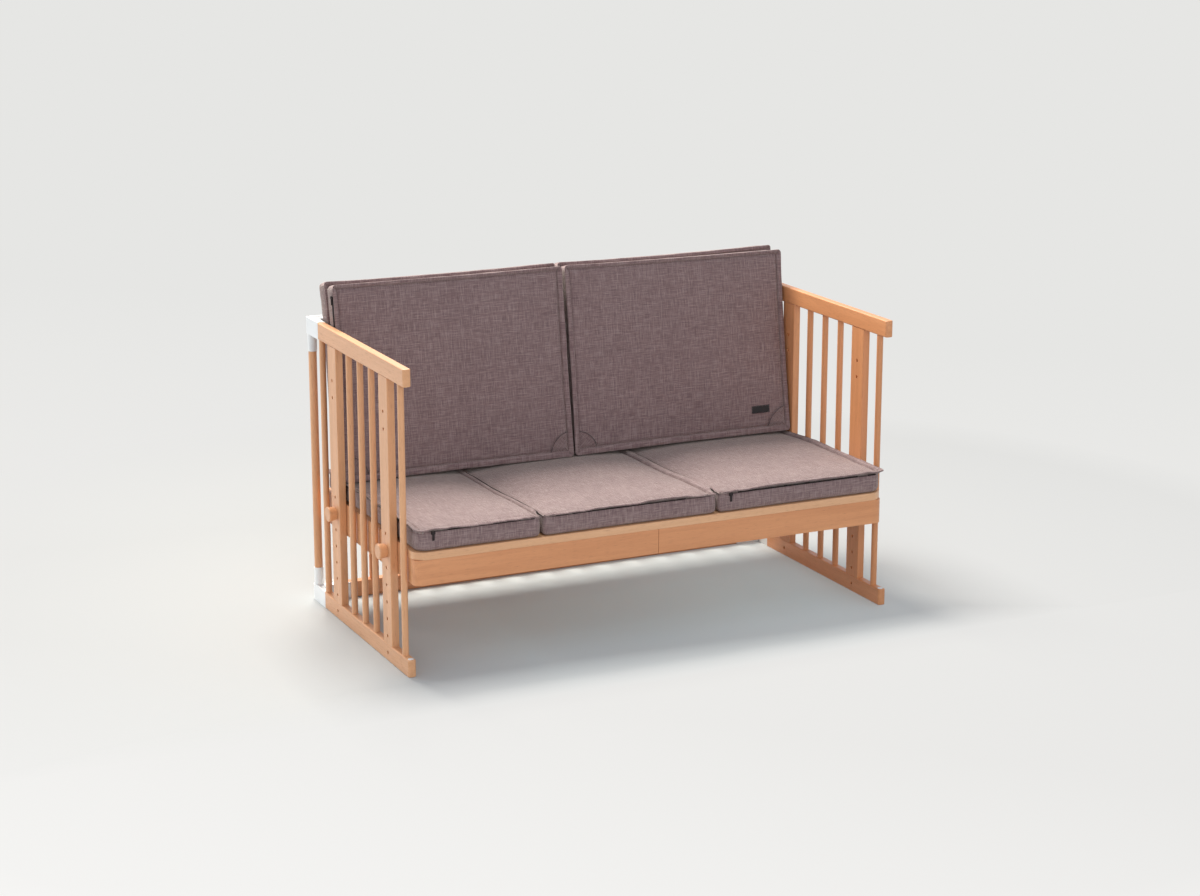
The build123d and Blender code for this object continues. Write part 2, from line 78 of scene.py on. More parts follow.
class Grain(Enum):
    """The axis that a piece of wood has its grain along."""

    ALONG_X = 0
    ALONG_Y = 1
    ALONG_Z = 2


class Tone(Enum):
    """How pale a piece of beech is: its lighter and its deeper colour. The left end's tone is painted
    light: it is paler because the lamp at the left lights those pieces most.
    """

    PALE = ((234, 184, 140), (220, 166, 122))
    LIGHT = ((230, 173, 127), (214, 155, 109))
    PLAIN = ((226, 157, 107), (208, 138, 89))


class Side(Enum):
    """An end of the sofa, as seen from the front."""

    LEFT = "left"
    RIGHT = "right"


class Layer(Enum):
    """A row of back pads, by what it rests against."""

    REAR = "rear"
    FRONT = "front"


class Edge(Enum):
    """A side of a pad that lies flat, from its front side and turning left."""

    FRONT = 0
    RIGHT = 1
    REAR = 2
    LEFT = 3


def linear(red: int, green: int, blue: int) -> Colour:
    """Turn a colour of 0 to 255 a channel, as a screen shows it, into linear light.

    Args:
        red: The red channel.
        green: The green channel.
        blue: The blue channel.

    Returns:
        The three linear channels, from 0 to 1.
    """
    shares = [channel / 255 for channel in (red, green, blue)]
    return tuple(s / 12.92 if s <= 0.04045 else ((s + 0.055) / 1.055) ** 2.4 for s in shares)


def put(name: str, data: bpy.types.ID) -> bpy.types.Object:
    """Link a new object into the scene.

    Args:
        name: The object's name.
        data: Its mesh, lamp or camera.

    Returns:
        The new object.
    """
    made = bpy.data.objects.new(name, data)
    bpy.context.scene.collection.objects.link(made)
    return made


def formed(piece: bpy.types.Object) -> bpy.types.Mesh:
    """Make a plain mesh of an object with its modifiers."""
    return bpy.data.meshes.new_from_object(piece.evaluated_get(bpy.context.evaluated_depsgraph_get()))


class NodePlan:
    """Adds the nodes of one tree with short calls."""

    def __init__(self, tree: bpy.types.NodeTree) -> None:
        """Hold a tree that has no nodes yet."""
        self.tree = tree

    def add(self, kind: str, inputs: dict | None = None, **settings: object) -> bpy.types.Node:
        """Add a node.

        Args:
            kind: The node's type name.
            inputs: Socket names or numbers, each with a value or with a socket to link from.
            settings: The node's own properties.

        Returns:
            The new node.
        """
        node = self.tree.nodes.new(kind)
        for key, value in settings.items():
            setattr(node, key, value)
        for key, value in (inputs or {}).items():
            self.feed(node.inputs[key], value)
        return node

    def feed(self, socket: bpy.types.NodeSocket, value: object) -> None:
        """Link a socket into another, or set the other's value.

        Args:
            socket: The socket that receives.
            value: A socket to link from, or a plain value.
        """
        if isinstance(value, bpy.types.NodeSocket):
            self.tree.links.new(value, socket)
        else:
            socket.default_value = value


class ShaderPlan(NodePlan):
    """Adds the nodes of one material with short calls."""

    def __init__(self, name: str) -> None:
        """Start a material that holds a Principled shader alone.

        Args:
            name: The material's name.
        """
        self.material = bpy.data.materials.new(name)
        self.material.use_nodes = True
        super().__init__(self.material.node_tree)
        self.tree.nodes.clear()
        self.shader = self.add("ShaderNodeBsdfPrincipled")
        self.end = self.add("ShaderNodeOutputMaterial", {"Surface": self.shader.outputs["BSDF"]})

    def surface(self, **values: object) -> None:
        """Feed the shader's sockets, named with underscores for spaces.

        Args:
            values: Socket names, each with a value or a socket to link from.
        """
        for key, value in values.items():
            self.feed(self.shader.inputs[key.replace("_", " ")], value)

    def place(self) -> bpy.types.NodeSocket:
        """Add the socket with the place in the part's frame."""
        return self.add("ShaderNodeTexCoord").outputs["Object"]

    def mixed(self, share: object, first: object, second: object, blend: str = "MIX") -> object:
        """Mix two colours.

        Args:
            share: How much of the second colour, from 0 to 1.
            first: The first colour, or a socket.
            second: The second colour, or a socket.
            blend: The way to mix.

        Returns:
            The socket that holds the mixed colour.
        """
        node = self.add("ShaderNodeMix", data_type="RGBA", blend_type=blend)
        self.feed(node.inputs[0], share)
        self.feed(node.inputs[6], self.opaque(first))
        self.feed(node.inputs[7], self.opaque(second))
        return node.outputs[2]

    def opaque(self, colour: object) -> object:
        """Give a plain colour its fourth channel, and leave a socket as it is."""
        return (*colour, 1.0) if isinstance(colour, tuple) and len(colour) == 3 else colour

    def reckon(self, sum_kind: str, first: object, second: object = 0.0) -> object:
        """Work out one number from two.

        Args:
            sum_kind: The operation's name, such as MULTIPLY.
            first: The first number, or a socket.
            second: The second number, or a socket.

        Returns:
            The socket that holds the result.
        """
        return self.add("ShaderNodeMath", {0: first, 1: second}, operation=sum_kind).outputs[0]

    def spread(self, value: object, span: Span, out: Span = (0.0, 1.0)) -> object:
        """Map a range of numbers onto another, held at its ends.

        Args:
            value: The socket with the number.
            span: Where the first range starts and ends.
            out: Where the second range starts and ends.

        Returns:
            The socket that holds the mapped number.
        """
        node = self.add("ShaderNodeMapRange", {"Value": value, "From Min": span[0], "From Max": span[1],
                                               "To Min": out[0], "To Max": out[1]}, clamp=True)
        return node.outputs["Result"]

    def cloud(self, where: object, scale: Triple, detail: float = 2.0, twist: float = 0.0) -> object:
        """Add noise that is stretched by a scale along each axis.

        Args:
            where: The socket with the place.
            scale: Features in a metre along each axis.
            detail: How many finer layers the noise has.
            twist: How much the noise is distorted.

        Returns:
            The socket that holds the noise, from 0 to 1.
        """
        place = self.add("ShaderNodeMapping", {"Vector": where, "Scale": scale})
        node = self.add("ShaderNodeTexNoise", {"Vector": place.outputs["Vector"], "Scale": 1.0,
                                               "Detail": detail, "Distortion": twist})
        return node.outputs["Fac"]

    def raised(self, height: object, depth: float, strength: float = 1.0) -> object:
        """Turn a height pattern into a surface direction.

        Args:
            height: The socket with the height, from 0 to 1.
            depth: The height's full depth in metres.
            strength: How strongly it shows.

        Returns:
            The socket that holds the direction.
        """
        node = self.add("ShaderNodeBump", {"Height": height, "Distance": depth, "Strength": strength})
        return node.outputs["Normal"]


@dataclass(frozen=True)
class BeechFinish:
    """Clear-lacquered beech with its fine growth lines and short brown flecks."""

    grain: Grain
    tone: Tone = Tone.PLAIN
    fleck: Colour = linear(146, 88, 56)
    stretch: float = 0.055
    body_count: float = 26.0
    ring_pitch: float = 9 * MM
    fibre_count: float = 900.0
    ring_share: float = 0.5
    fleck_share: float = 0.4
    roughness: float = 0.40
    fibre_depth: float = 0.12 * MM

    def stretched(self, across: float) -> Triple:
        """Give a noise scale that is drawn out along the grain.

        Args:
            across: Features in a metre across the grain.

        Returns:
            Features in a metre along X, Y and Z.
        """
        scale = [across] * 3
        scale[self.grain.value] = across * self.stretch
        return tuple(scale)

    def material(self) -> bpy.types.Material:
        """Build the material.

        Returns:
            The material.
        """
        plan = ShaderPlan(f"beech_{self.tone.name.lower()}_{self.grain.name.lower()}")
        light, deep = (linear(*colour) for colour in self.tone.value)
        where = plan.place()
        tone = plan.cloud(where, self.stretched(self.body_count), 4.0, 0.6)
        body = plan.mixed(plan.spread(tone, (0.32, 0.68)), light, deep)
        rings = plan.cloud(where, self.stretched(1 / self.ring_pitch), 5.0, 0.9)
        body = plan.mixed(plan.spread(rings, (0.42, 0.62), (0.0, self.ring_share)), body, deep)
        fibre = plan.cloud(where, self.stretched(self.fibre_count))
        body = plan.mixed(plan.spread(fibre, (0.58, 0.74), (0.0, self.fleck_share)), body, self.fleck)
        gloss = plan.spread(fibre, (0.3, 0.8), (self.roughness - 0.05, self.roughness + 0.14))
        plan.surface(Base_Color=body, Roughness=gloss, IOR=1.5, Coat_Weight=0.35,
                     Coat_Roughness=0.28, Normal=plan.raised(fibre, self.fibre_depth, 0.5))
        return plan.material


@dataclass(frozen=True)
class WhitePlasticFinish:
    """White moulded plastic with a faint spark-eroded skin."""

    colour: Colour = linear(240, 241, 240)
    shade: Colour = linear(232, 233, 231)
    skin_count: Triple = (900.0,) * 3
    haze_count: Triple = (20.0,) * 3
    skin_depth: float = 0.06 * MM
    roughness: float = 0.36

    def material(self) -> bpy.types.Material:
        """Build the material.

        Returns:
            The material.
        """
        plan = ShaderPlan("white_plastic")
        where = plan.place()
        skin = plan.cloud(where, self.skin_count)
        haze = plan.cloud(where, self.haze_count)
        body = plan.mixed(plan.spread(haze, (0.3, 0.7), (0.0, 0.5)), self.colour, self.shade)
        plan.surface(Base_Color=body, IOR=1.46, Normal=plan.raised(skin, self.skin_depth, 0.35),
                     Roughness=plan.spread(skin, (0.3, 0.7), (self.roughness, self.roughness + 0.1)))
        return plan.material


@dataclass(frozen=True)
class MelangeFinish:
    """Slubbed plain weave in mixed mauve-brown yarns, read from the piece's own weave map."""

    name: str = "melange_fabric"
    pale_yarn: Colour = linear(194, 172, 167)
    mid_yarn: Colour = linear(143, 117, 116)
    dark_yarn: Colour = linear(96, 74, 77)
    sheen: Colour = linear(234, 227, 212)
    yarn_pitch: float = 1.1 * MM
    slub_long: float = 26 * MM
    slub_wide: float = 1.6 * MM
    streak_scale: Span = (7.0, 430.0)
    blotch_scale: Span = (24.0, 240.0)
    pale_share: float = 0.5
    dark_share: float = 0.42
    streak_share: float = 0.3
    blotch_share: float = 0.22
    weave_depth: float = 0.35 * MM

    def crossed(self, plan: ShaderPlan, place: object, scale: Span, detail: float) -> list[object]:
        """Add drawn-out noise along the warp and along the weft.

        Args:
            plan: The material's plan.
            place: The socket with the weave map, in metres.
            scale: Features in a metre, along a yarn and across it.
            detail: How many finer layers the noise has.

        Returns:
            The sockets that hold the noise of the warp and of the weft.
        """
        along, across = scale
        return [plan.cloud(place, (along, across, 1.0), detail),
                plan.cloud(place, (across, along, 1.0), detail)]

    def most(self, plan: ShaderPlan, pair: list[object], span: Span) -> object:
        """Give the larger of two noises, once each is mapped from a span onto 0 to 1."""
        return plan.reckon("MAXIMUM", *(plan.spread(value, span) for value in pair))

    def ribs(self, plan: ShaderPlan, place: object, axis: str) -> object:
        """Add the plain weave's even ribs along one axis.

        Args:
            plan: The material's plan.
            place: The socket with the weave map, in metres.
            axis: The axis that the ribs follow each other along.

        Returns:
            The socket that holds the ribs' height, from 0 to 1.
        """
        wave = plan.add("ShaderNodeTexWave", {"Vector": place, "Scale": 0.314 / self.yarn_pitch,
                                              "Distortion": 1.2, "Detail": 1.0},
                        bands_direction=axis)
        return wave.outputs["Fac"]

    def material(self) -> bpy.types.Material:
        """Build the material.

        Returns:
            The material.
        """
        plan = ShaderPlan(self.name)
        place = plan.add("ShaderNodeUVMap", uv_map="weave").outputs["UV"]
        yarns = self.crossed(plan, place, (1 / self.slub_long, 1 / self.slub_wide), 1.5)
        streaks = self.most(plan, self.crossed(plan, place, self.streak_scale, 2.0), (0.54, 0.7))
        pale = self.most(plan, yarns, (0.53, 0.68))
        dark = self.most(plan, yarns, (0.46, 0.32))
        body = plan.mixed(plan.reckon("MULTIPLY", pale, self.pale_share), self.mid_yarn, self.pale_yarn)
        body = plan.mixed(plan.reckon("MULTIPLY", dark, self.dark_share), body, self.dark_yarn)
        body = plan.mixed(plan.reckon("MULTIPLY", streaks, self.streak_share), body, self.pale_yarn)
        blotch = plan.reckon("ADD", *self.crossed(plan, place, self.blotch_scale, 2.0))
        fade = (0.0, self.blotch_share)
        body = plan.mixed(plan.spread(blotch, (1.02, 1.25), fade), body, self.pale_yarn)
        body = plan.mixed(plan.spread(blotch, (0.98, 0.75), fade), body, self.dark_yarn)
        mottle = plan.cloud(place, (10.0, 10.0, 1.0))
        body = plan.mixed(plan.spread(mottle, (0.35, 0.7), (0.0, 0.1)), body, self.dark_yarn)
        weave = plan.reckon("MULTIPLY", self.ribs(plan, place, "X"), self.ribs(plan, place, "Y"))
        # painted shade: the low places between the ribs are made darker, as shade falls between the yarns
        body = plan.mixed(plan.spread(weave, (0.0, 0.5), (0.30, 0.0)), body, self.dark_yarn)
        height = plan.reckon("ADD", weave, plan.reckon("MULTIPLY", pale, 1.4))
        plan.surface(Base_Color=body, Roughness=0.92, IOR=1.4, Sheen_Weight=0.45,
                     Sheen_Roughness=0.45, Sheen_Tint=(*self.sheen, 1.0),
                     Normal=plan.raised(height, self.weave_depth, 0.7))
        return plan.material


@dataclass(frozen=True)
class ZipFinish:
    """Black moulded zip parts and tape, with a little lighter wear in random patches."""

    colour: Colour = linear(46, 37, 37)
    worn: Colour = linear(66, 58, 58)
    rub_count: Triple = (420.0,) * 3
    rub_depth: float = 0.1 * MM

    def material(self) -> bpy.types.Material:
        """Build the material.

        Returns:
            The material.
        """
        plan = ShaderPlan("black_zip")
        rub = plan.cloud(plan.place(), self.rub_count, 3.0)
        body = plan.mixed(plan.spread(rub, (0.5, 0.8), (0.0, 0.5)), self.colour, self.worn)
        plan.surface(Base_Color=body, Roughness=0.72, IOR=1.35,
                     Normal=plan.raised(rub, self.rub_depth, 0.5))
        return plan.material


@dataclass(frozen=True)
class LabelFinish:
    """A blank black satin label with a fine woven rib."""

    colour: Colour = linear(24, 23, 25)
    shine: Colour = linear(46, 44, 47)
    rib_count: float = 420.0
    rib_depth: float = 0.08 * MM

    def material(self) -> bpy.types.Material:
        """Build the material.

        Returns:
            The material.
        """
        plan = ShaderPlan("black_label")
        wave = plan.add("ShaderNodeTexWave", {"Vector": plan.place(), "Scale": self.rib_count,
                                              "Distortion": 0.4}, bands_direction="Z")
        rib = wave.outputs["Fac"]
        body = plan.mixed(plan.spread(rib, (0.2, 0.9), (0.0, 0.4)), self.colour, self.shine)
        plan.surface(Base_Color=body, Roughness=0.42, IOR=1.5,
                     Normal=plan.raised(rib, self.rib_depth, 0.4))
        return plan.material


@dataclass(frozen=True)
class ThreadFinish:
    """Mauve-brown sewing thread with a fine twist."""

    name: str = "sewing_thread"
    colour: Colour = linear(112, 92, 90)
    shine: Colour = linear(150, 130, 126)
    twist_count: Triple = (900.0,) * 3
    twist_depth: float = 0.1 * MM

    def material(self) -> bpy.types.Material:
        """Build the material.

        Returns:
            The material.
        """
        plan = ShaderPlan(self.name)
        twist = plan.cloud(plan.place(), self.twist_count)
        body = plan.mixed(plan.spread(twist, (0.35, 0.65)), self.colour, self.shine)
        plan.surface(Base_Color=body, Roughness=0.7, IOR=1.45, Sheen_Weight=0.3,
                     Normal=plan.raised(twist, self.twist_depth, 0.4))
        return plan.material


@dataclass(frozen=True)
class ZincFinish:
    """Zinc-plated steel, lightly brushed."""

    colour: Colour = linear(188, 190, 192)
    shade: Colour = linear(158, 160, 164)
    brush_count: Triple = (60.0, 1400.0, 1400.0)
    brush_depth: float = 0.03 * MM

    def material(self) -> bpy.types.Material:
        """Build the material.

        Returns:
            The material.
        """
        plan = ShaderPlan("zinc_steel")
        brush = plan.cloud(plan.place(), self.brush_count)
        body = plan.mixed(plan.spread(brush, (0.3, 0.7)), self.colour, self.shade)
        plan.surface(Base_Color=body, Metallic=1.0, Normal=plan.raised(brush, self.brush_depth, 0.4),
                     Roughness=plan.spread(brush, (0.3, 0.7), (0.28, 0.42)))
        return plan.material


@dataclass
class Wardrobe:
    """Every finish of the object, built once."""

    beech: dict[tuple[Grain, Tone], bpy.types.Material] = field(default_factory=dict)
    fabric: bpy.types.Material | None = None
    plastic: bpy.types.Material | None = None
    black_zip: bpy.types.Material | None = None
    label: bpy.types.Material | None = None
    thread: bpy.types.Material | None = None
    shadow_cord: bpy.types.Material | None = None
    zinc: bpy.types.Material | None = None

    def build(self) -> "Wardrobe":
        """Build all materials.

        Returns:
            The wardrobe itself.
        """
        self.beech = {(grain, tone): BeechFinish(grain, tone).material()
                      for grain, tone in product(Grain, Tone)
                      if tone is not Tone.PALE or grain is Grain.ALONG_X}
        self.fabric = MelangeFinish().material()
        self.plastic = WhitePlasticFinish().material()
        self.black_zip = ZipFinish().material()
        self.label = LabelFinish().material()
        self.thread = ThreadFinish().material()
        # painted shade: this dark cord stands for the shadow along the corner patches' round edges
        self.shadow_cord = ThreadFinish("painted_shadow_cord", linear(58, 42, 42), linear(78, 60, 58)).material()
        self.zinc = ZincFinish().material()
        return self


def dress(node: str, material: bpy.types.Material) -> None:
    """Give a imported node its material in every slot.

    Args:
        node: The node's name.
        material: The material.
    """
    piece = frame["nodes"][node]
    piece.data.materials.clear()
    piece.data.materials.append(material)
    LOG.info("%s wears %s", node, material.name)


def add_piece(name: str, mesh: bpy.types.Mesh, material: bpy.types.Material, body: str) -> bpy.types.Object:
    """Put a mesh in the scene as a named piece that rides on a body.

    Args:
        name: The piece's name.
        mesh: Its mesh, in the part's frame.
        material: Its material.
        body: The body that it rides on.

    Returns:
        The new object.
    """
    piece = put(name, mesh)
    mesh.materials.clear()
    mesh.materials.append(material)
    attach(piece, body)
    LOG.info("%s rides on %s with %d faces", name, body, len(mesh.polygons))
    return piece


@dataclass
class WoodenFrame:
    """The barred ends, the rear fence, the brackets and the base, all carried over."""

    upright_nodes: tuple[str, ...] = ("rear_dowels",)
    depth_nodes: tuple[str, ...] = ("centre_beams", "slat_cleats")
    pale_nodes: tuple[str, ...] = ("front_ledge", "slats")
    left_end_x: float = -0.55

    def grain_of(self, node: str) -> Grain:
        """Tell which way a wooden node's grain runs.

        Args:
            node: The node's name.

        Returns:
            The axis along its longest side, or across the sofa for a knob.
        """
        if node.startswith("knob_"):
            return Grain.ALONG_X
        if node in self.upright_nodes:
            return Grain.ALONG_Z
        if node in self.depth_nodes:
            return Grain.ALONG_Y
        low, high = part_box(node)
        spans = [high[k] - low[k] for k in range(3)]
        return Grain(spans.index(max(spans)))

    def tone_of(self, node: str) -> Tone:
        """Tell how pale a wooden node's piece of beech is.

        Args:
            node: The node's name.

        Returns:
            Its tone.
        """
        if node in self.pale_nodes:
            return Tone.PALE
        # painted light: the left end's pieces take a paler tone, as the lamp at the left lights them most
        return Tone.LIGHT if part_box(node)[1][0] < self.left_end_x else Tone.PLAIN

    def dress(self, wardrobe: Wardrobe) -> None:
        """Give every rigid node its finish.

        Args:
            wardrobe: The finishes.
        """
        plain = {"white_plastic": wardrobe.plastic, "zinc_steel": wardrobe.zinc,
                 ZIP_SLOT: wardrobe.black_zip}
        for part in frame["record"]["subparts"]:
            node, slot = part["node"], part["material_slot"]
            if slot == "beech":
                dress(node, wardrobe.beech[self.grain_of(node), self.tone_of(node)])
            elif slot in plain:
                dress(node, plain[slot])


@dataclass
class Shell:
    """A closed skin, with a place on the weave for each corner of each face."""

    points: np.ndarray
    faces: list[tuple[int, ...]]
    weave: np.ndarray

    def turned_out(self) -> "Shell":
        """Point the faces outwards.

        Returns:
            The skin, or one with its faces turned round where it was inside out.
        """
        volume = 0.0
        for face in self.faces:
            first = self.points[face[0]]
            for k in range(1, len(face) - 1):
                volume += np.dot(first, np.cross(self.points[face[k]], self.points[face[k + 1]]))
        if volume >= 0:
            return self
        ends = np.cumsum([len(face) for face in self.faces])
        order = [k for end, face in zip(ends, self.faces) for k in range(end - 1, end - len(face) - 1, -1)]
        return Shell(self.points, [face[::-1] for face in self.faces], self.weave[order])

    def tree(self) -> BVHTree:
        """Give the skin in the form that rays are cast on."""
        return BVHTree.FromPolygons([tuple(point) for point in self.points], self.faces)


def join_shells(name: str, shells: list[Shell]) -> bpy.types.Mesh:
    """Make one smooth mesh of several skins, with their weave map.

    Args:
        name: The mesh's name.
        shells: The skins.

    Returns:
        The mesh.
    """
    faces, start = [], 0
    for shell in shells:
        faces += [tuple(k + start for k in face) for face in shell.faces]
        start += len(shell.points)
    mesh = bpy.data.meshes.new(name)
    mesh.from_pydata(np.vstack([shell.points for shell in shells]).tolist(), [], faces)
    layer = mesh.uv_layers.new(name="weave")
    layer.data.foreach_set("uv", np.vstack([shell.weave for shell in shells]).ravel())
    mesh.shade_smooth()
    return mesh


def lattice_shell(top: np.ndarray, under: np.ndarray, weave: np.ndarray) -> Shell:
    """Close two equal grids of points, one over the other, into a thin sheet.

    Args:
        top: The upper grid, rows by columns by three.
        under: The lower grid.
        weave: Each upper point's place on the weave, rows by columns by two.

    Returns:
        The closed skin.
    """
    rows, columns = top.shape[:2]
    points = np.vstack([top.reshape(-1, 3), under.reshape(-1, 3)])
    places = np.vstack([weave.reshape(-1, 2), weave.reshape(-1, 2)])
    lower = rows * columns
    faces = []
    for i, j in product(range(rows - 1), range(columns - 1)):
        a, d = i * columns + j, (i + 1) * columns + j
        b, c = a + 1, d + 1
        faces += [(a, b, c, d), (d + lower, c + lower, b + lower, a + lower)]
    rim = [(0, j) for j in range(columns)] + [(i, columns - 1) for i in range(1, rows)]
    rim += [(rows - 1, j) for j in range(columns - 2, -1, -1)] + [(i, 0) for i in range(rows - 2, 0, -1)]
    loop = [i * columns + j for i, j in rim]
    for a, b in zip(loop, loop[1:] + loop[:1]):
        faces.append((b, a, a + lower, b + lower))
    corners = [k for face in faces for k in face]
    return Shell(points, faces, places[corners]).turned_out()


def read_points(mesh: bpy.types.Mesh) -> np.ndarray:
    """Read a mesh's points.

    Args:
        mesh: The mesh.

    Returns:
        The points, one row each.
    """
    flat = np.empty(len(mesh.vertices) * 3)
    mesh.vertices.foreach_get("co", flat)
    return flat.reshape(-1, 3)


def write_points(mesh: bpy.types.Mesh, points: np.ndarray) -> None:
    """Write rows of points back to a mesh."""
    mesh.vertices.foreach_set("co", points.ravel())
    mesh.update()


def wander(place: Triple) -> float:
    """Give smooth noise from about -1 to 1 at a place."""
    return noise.noise(Vector(place))


def held(value: float) -> float:
    """Keep a number between 0 and 1."""
    return min(max(value, 0.0), 1.0)


def height_over(tree: BVHTree, u: float, v: float, level: float) -> float:
    """Give the height of a skin's top over a place.

    Args:
        tree: The skin.
        u: The place's u.
        v: The place's v.
        level: The height to give where there is no skin, near its top.

    Returns:
        The top's w there.
    """
    hit = tree.ray_cast(Vector((u, v, level + RAY_RISE)), Vector((0, 0, -1)))[0]
    return hit.z if hit is not None else level


def edge_facing(by_u: bool, u: float, v: float) -> Edge:
    """Name the side of a pad that a direction or a place belongs to.

    Args:
        by_u: True where u decides, and False where v does.
        u: The direction's or the place's u.
        v: The direction's or the place's v.

    Returns:
        The side.
    """
    if by_u:
        return Edge.RIGHT if u > 0 else Edge.LEFT
    return Edge.FRONT if v < 0 else Edge.REAR


@dataclass(frozen=True)
class Lip:
    """One side of the flange that is left where a pad's top and side are sewn together."""

    reach: float = 3.6 * MM
    inset: float = 8.5 * MM
    lift: float = 0.0
    wave: float = 0.9 * MM
    roll: float = 1.0


@dataclass(frozen=True)
class Dent:
    """A soft hollow in a pad's top, centred at a place and fading with distance."""

    u: float
    v: float
    reach_u: float
    reach_v: float
    depth: float


@dataclass(frozen=True)
class Slack:
    """Soft waves in a cover: how many to a metre each way, and how high in millimetres."""

    per_u: float
    per_v: float
    height: float
    shift: float = 0.0

    def at(self, u: float, v: float, seed: float) -> float:
        """Give the wave's height at a place."""
        return wander((u * self.per_u, v * self.per_v, seed + self.shift)) * self.height


@dataclass
class SewnPad:
    """A foam pad in a sewn cover. Lying flat, it has u across, v in depth and w up.

    The foot's profile is a list of insets and heights, and the shoulder's of insets and drops,
    both in millimetres.
    """

    name: str
    node: str
    body: str
    long: float
    wide: float
    thick: float
    crown: float
    corners: tuple[float, float, float, float]
    lips: tuple[Lip, Lip, Lip, Lip]
    axes: tuple[Vector, Vector, Vector]
    origin: Vector
    seed: float
    moves: tuple[Triple, ...] = (STILL,) * 4
    dents: tuple[Dent, ...] = ()
    bare: tuple[int, ...] = ()
    bare_long: float = 26 * MM
    bare_fade: float = 12 * MM
    voxel: float = 6.5 * MM
    draw_in: float = 3.5 * MM
    arch_power: float = 0.7
    arch_share: float = 0.45
    held_inset: float = 11 * MM
    held_drop: float = 12 * MM
    held_foot: float = 4 * MM
    top_band: float = 4 * MM
    swell_cap: float = 8 * MM
    side_cap: float = 1.6 * MM
    crease_band: float = 5 * MM
    crease_foot: float = 3 * MM
    seam_depth: float = 2.2 * MM
    seam_width: float = 4.2 * MM
    seam_reach: float = 30 * MM
    seam_band: float = 3 * MM
    wide_inset: float = 17 * MM
    lip_press: float = 0.6 * MM
    tuck: float = 2.0 * MM
    tuck_drop: float = 6 * MM
    tuck_width: float = 3.2 * MM
    tuck_reach: float = 4 * MM
    belly: float = 0.4 * MM
    rim_pitch: float = 4.5 * MM
    arc_steps: int = 9
    least_round: float = 0.25
    low_shift: float = 0.7
    flange_corner: float = 0.5
    sway_counts: Span = (9.0, 37.0)
    pull_count: float = 22.0
    pull_depth: float = 0.7 * MM
    corner_blend: float = 0.04
    weave_pitch: float = 2 * MM
    stitch_inset: float = 1.6 * MM
    stitch_rise: float = 0.35 * MM
    ripple_reach: float = 30 * MM
    foot: tuple[Span, ...] = ((6.0, 0.0), (3.4, 0.7), (1.4, 2.2), (0.4, 5.0), (0.0, 9.0))
    shoulder: tuple[Span, ...] = ((0.2, 9.0), (0.9, 5.2), (2.4, 2.2), (5.0, 0.6), (9.0, 0.0))
    slow_slack: Slack = Slack(8.0, 8.0, 0.9)
    quick_slack: Slack = Slack(21.0, 17.0, 0.45, 5)
    ripples: Slack = Slack(34.0, 9.0, 1.3, 11)
    bulges: Slack = Slack(16.0, 34.0, 0.7, 23)
    stuffing: bpy.types.Object | None = None
    start: np.ndarray | None = None
    surface: BVHTree | None = None
    flange: BVHTree | None = None
    shells: list[Shell] = field(default_factory=list)

    def half_size(self) -> Span:
        """Give half the pad's u and half its v."""
        return self.long / 2, self.wide / 2

    def edge_room(self, points: np.ndarray) -> tuple[np.ndarray, np.ndarray]:
        """Tell how far points lie inside the pad's ends, and inside its front and rear."""
        a, b = self.half_size()
        return a - np.abs(points[:, 0]), b - np.abs(points[:, 1])

    def arc(self, number: int, inset: float, round_share: float) -> list[Span]:
        """Give the points of one round corner of the pad's outline.

        Args:
            number: The corner's number, front left first.
            inset: How far the points lie inside the outline.
            round_share: The corner's radius, as a share of the body's.

        Returns:
            Each point's u and v.
        """
        a, b = self.half_size()
        su, sv = CORNERS[number]
        radius = self.corners[number] * round_share
        inner = max(radius - inset, radius * self.least_round)
        middle = (su * (a - inset - inner), sv * (b - inset - inner))
        begin = math.pi + number * math.pi / 2
        turns = [begin + step / self.arc_steps * math.pi / 2 for step in range(self.arc_steps + 1)]
        mu, mv = middle
        return [(mu + inner * math.cos(turn), mv + inner * math.sin(turn)) for turn in turns]

    def ring(self, inset: float, height: float, round_share: float = 1.0) -> np.ndarray:
        """Give the pad's outline as a ring of points, front side first and turning left.

        Args:
            inset: How far the ring lies inside the outline.
            height: The ring's w.
            round_share: The corners' radius, as a share of the body's.

        Returns:
            The points, one row each.
        """
        arcs = [self.arc(number, inset, round_share) for number in range(4)]
        points = []
        for k, arc in enumerate(arcs):
            following = (k + 1) % 4
            side = self.long if k % 2 == 0 else self.wide
            span = side - self.corners[k] * round_share - self.corners[following] * round_share
            count = max(2, round(span / self.rim_pitch))
            last, end = arc[-1], arcs[following][0]
            points += arc
            points += [(last[0] + (end[0] - last[0]) * t / count, last[1] + (end[1] - last[1]) * t / count)
                       for t in range(1, count)]
        return self.drawn_in(np.array([(u, v, height) for u, v in points]))

    def drawn_in(self, points: np.ndarray) -> np.ndarray:
        """Pull the sides in between the corners.

        Args:
            points: Points in the pad's own axes.

        Returns:
            The moved points.
        """
        a, b = self.half_size()
        out = points.copy()
        share_u = np.clip(np.abs(points[:, 0]) / a, 0, 1)
        share_v = np.clip(np.abs(points[:, 1]) / b, 0, 1)
        out[:, 0] -= np.sign(points[:, 0]) * self.draw_in * (1 - share_v ** 2) * share_u ** 4
        out[:, 1] -= np.sign(points[:, 1]) * self.draw_in * (1 - share_u ** 2) * share_v ** 4
        return out

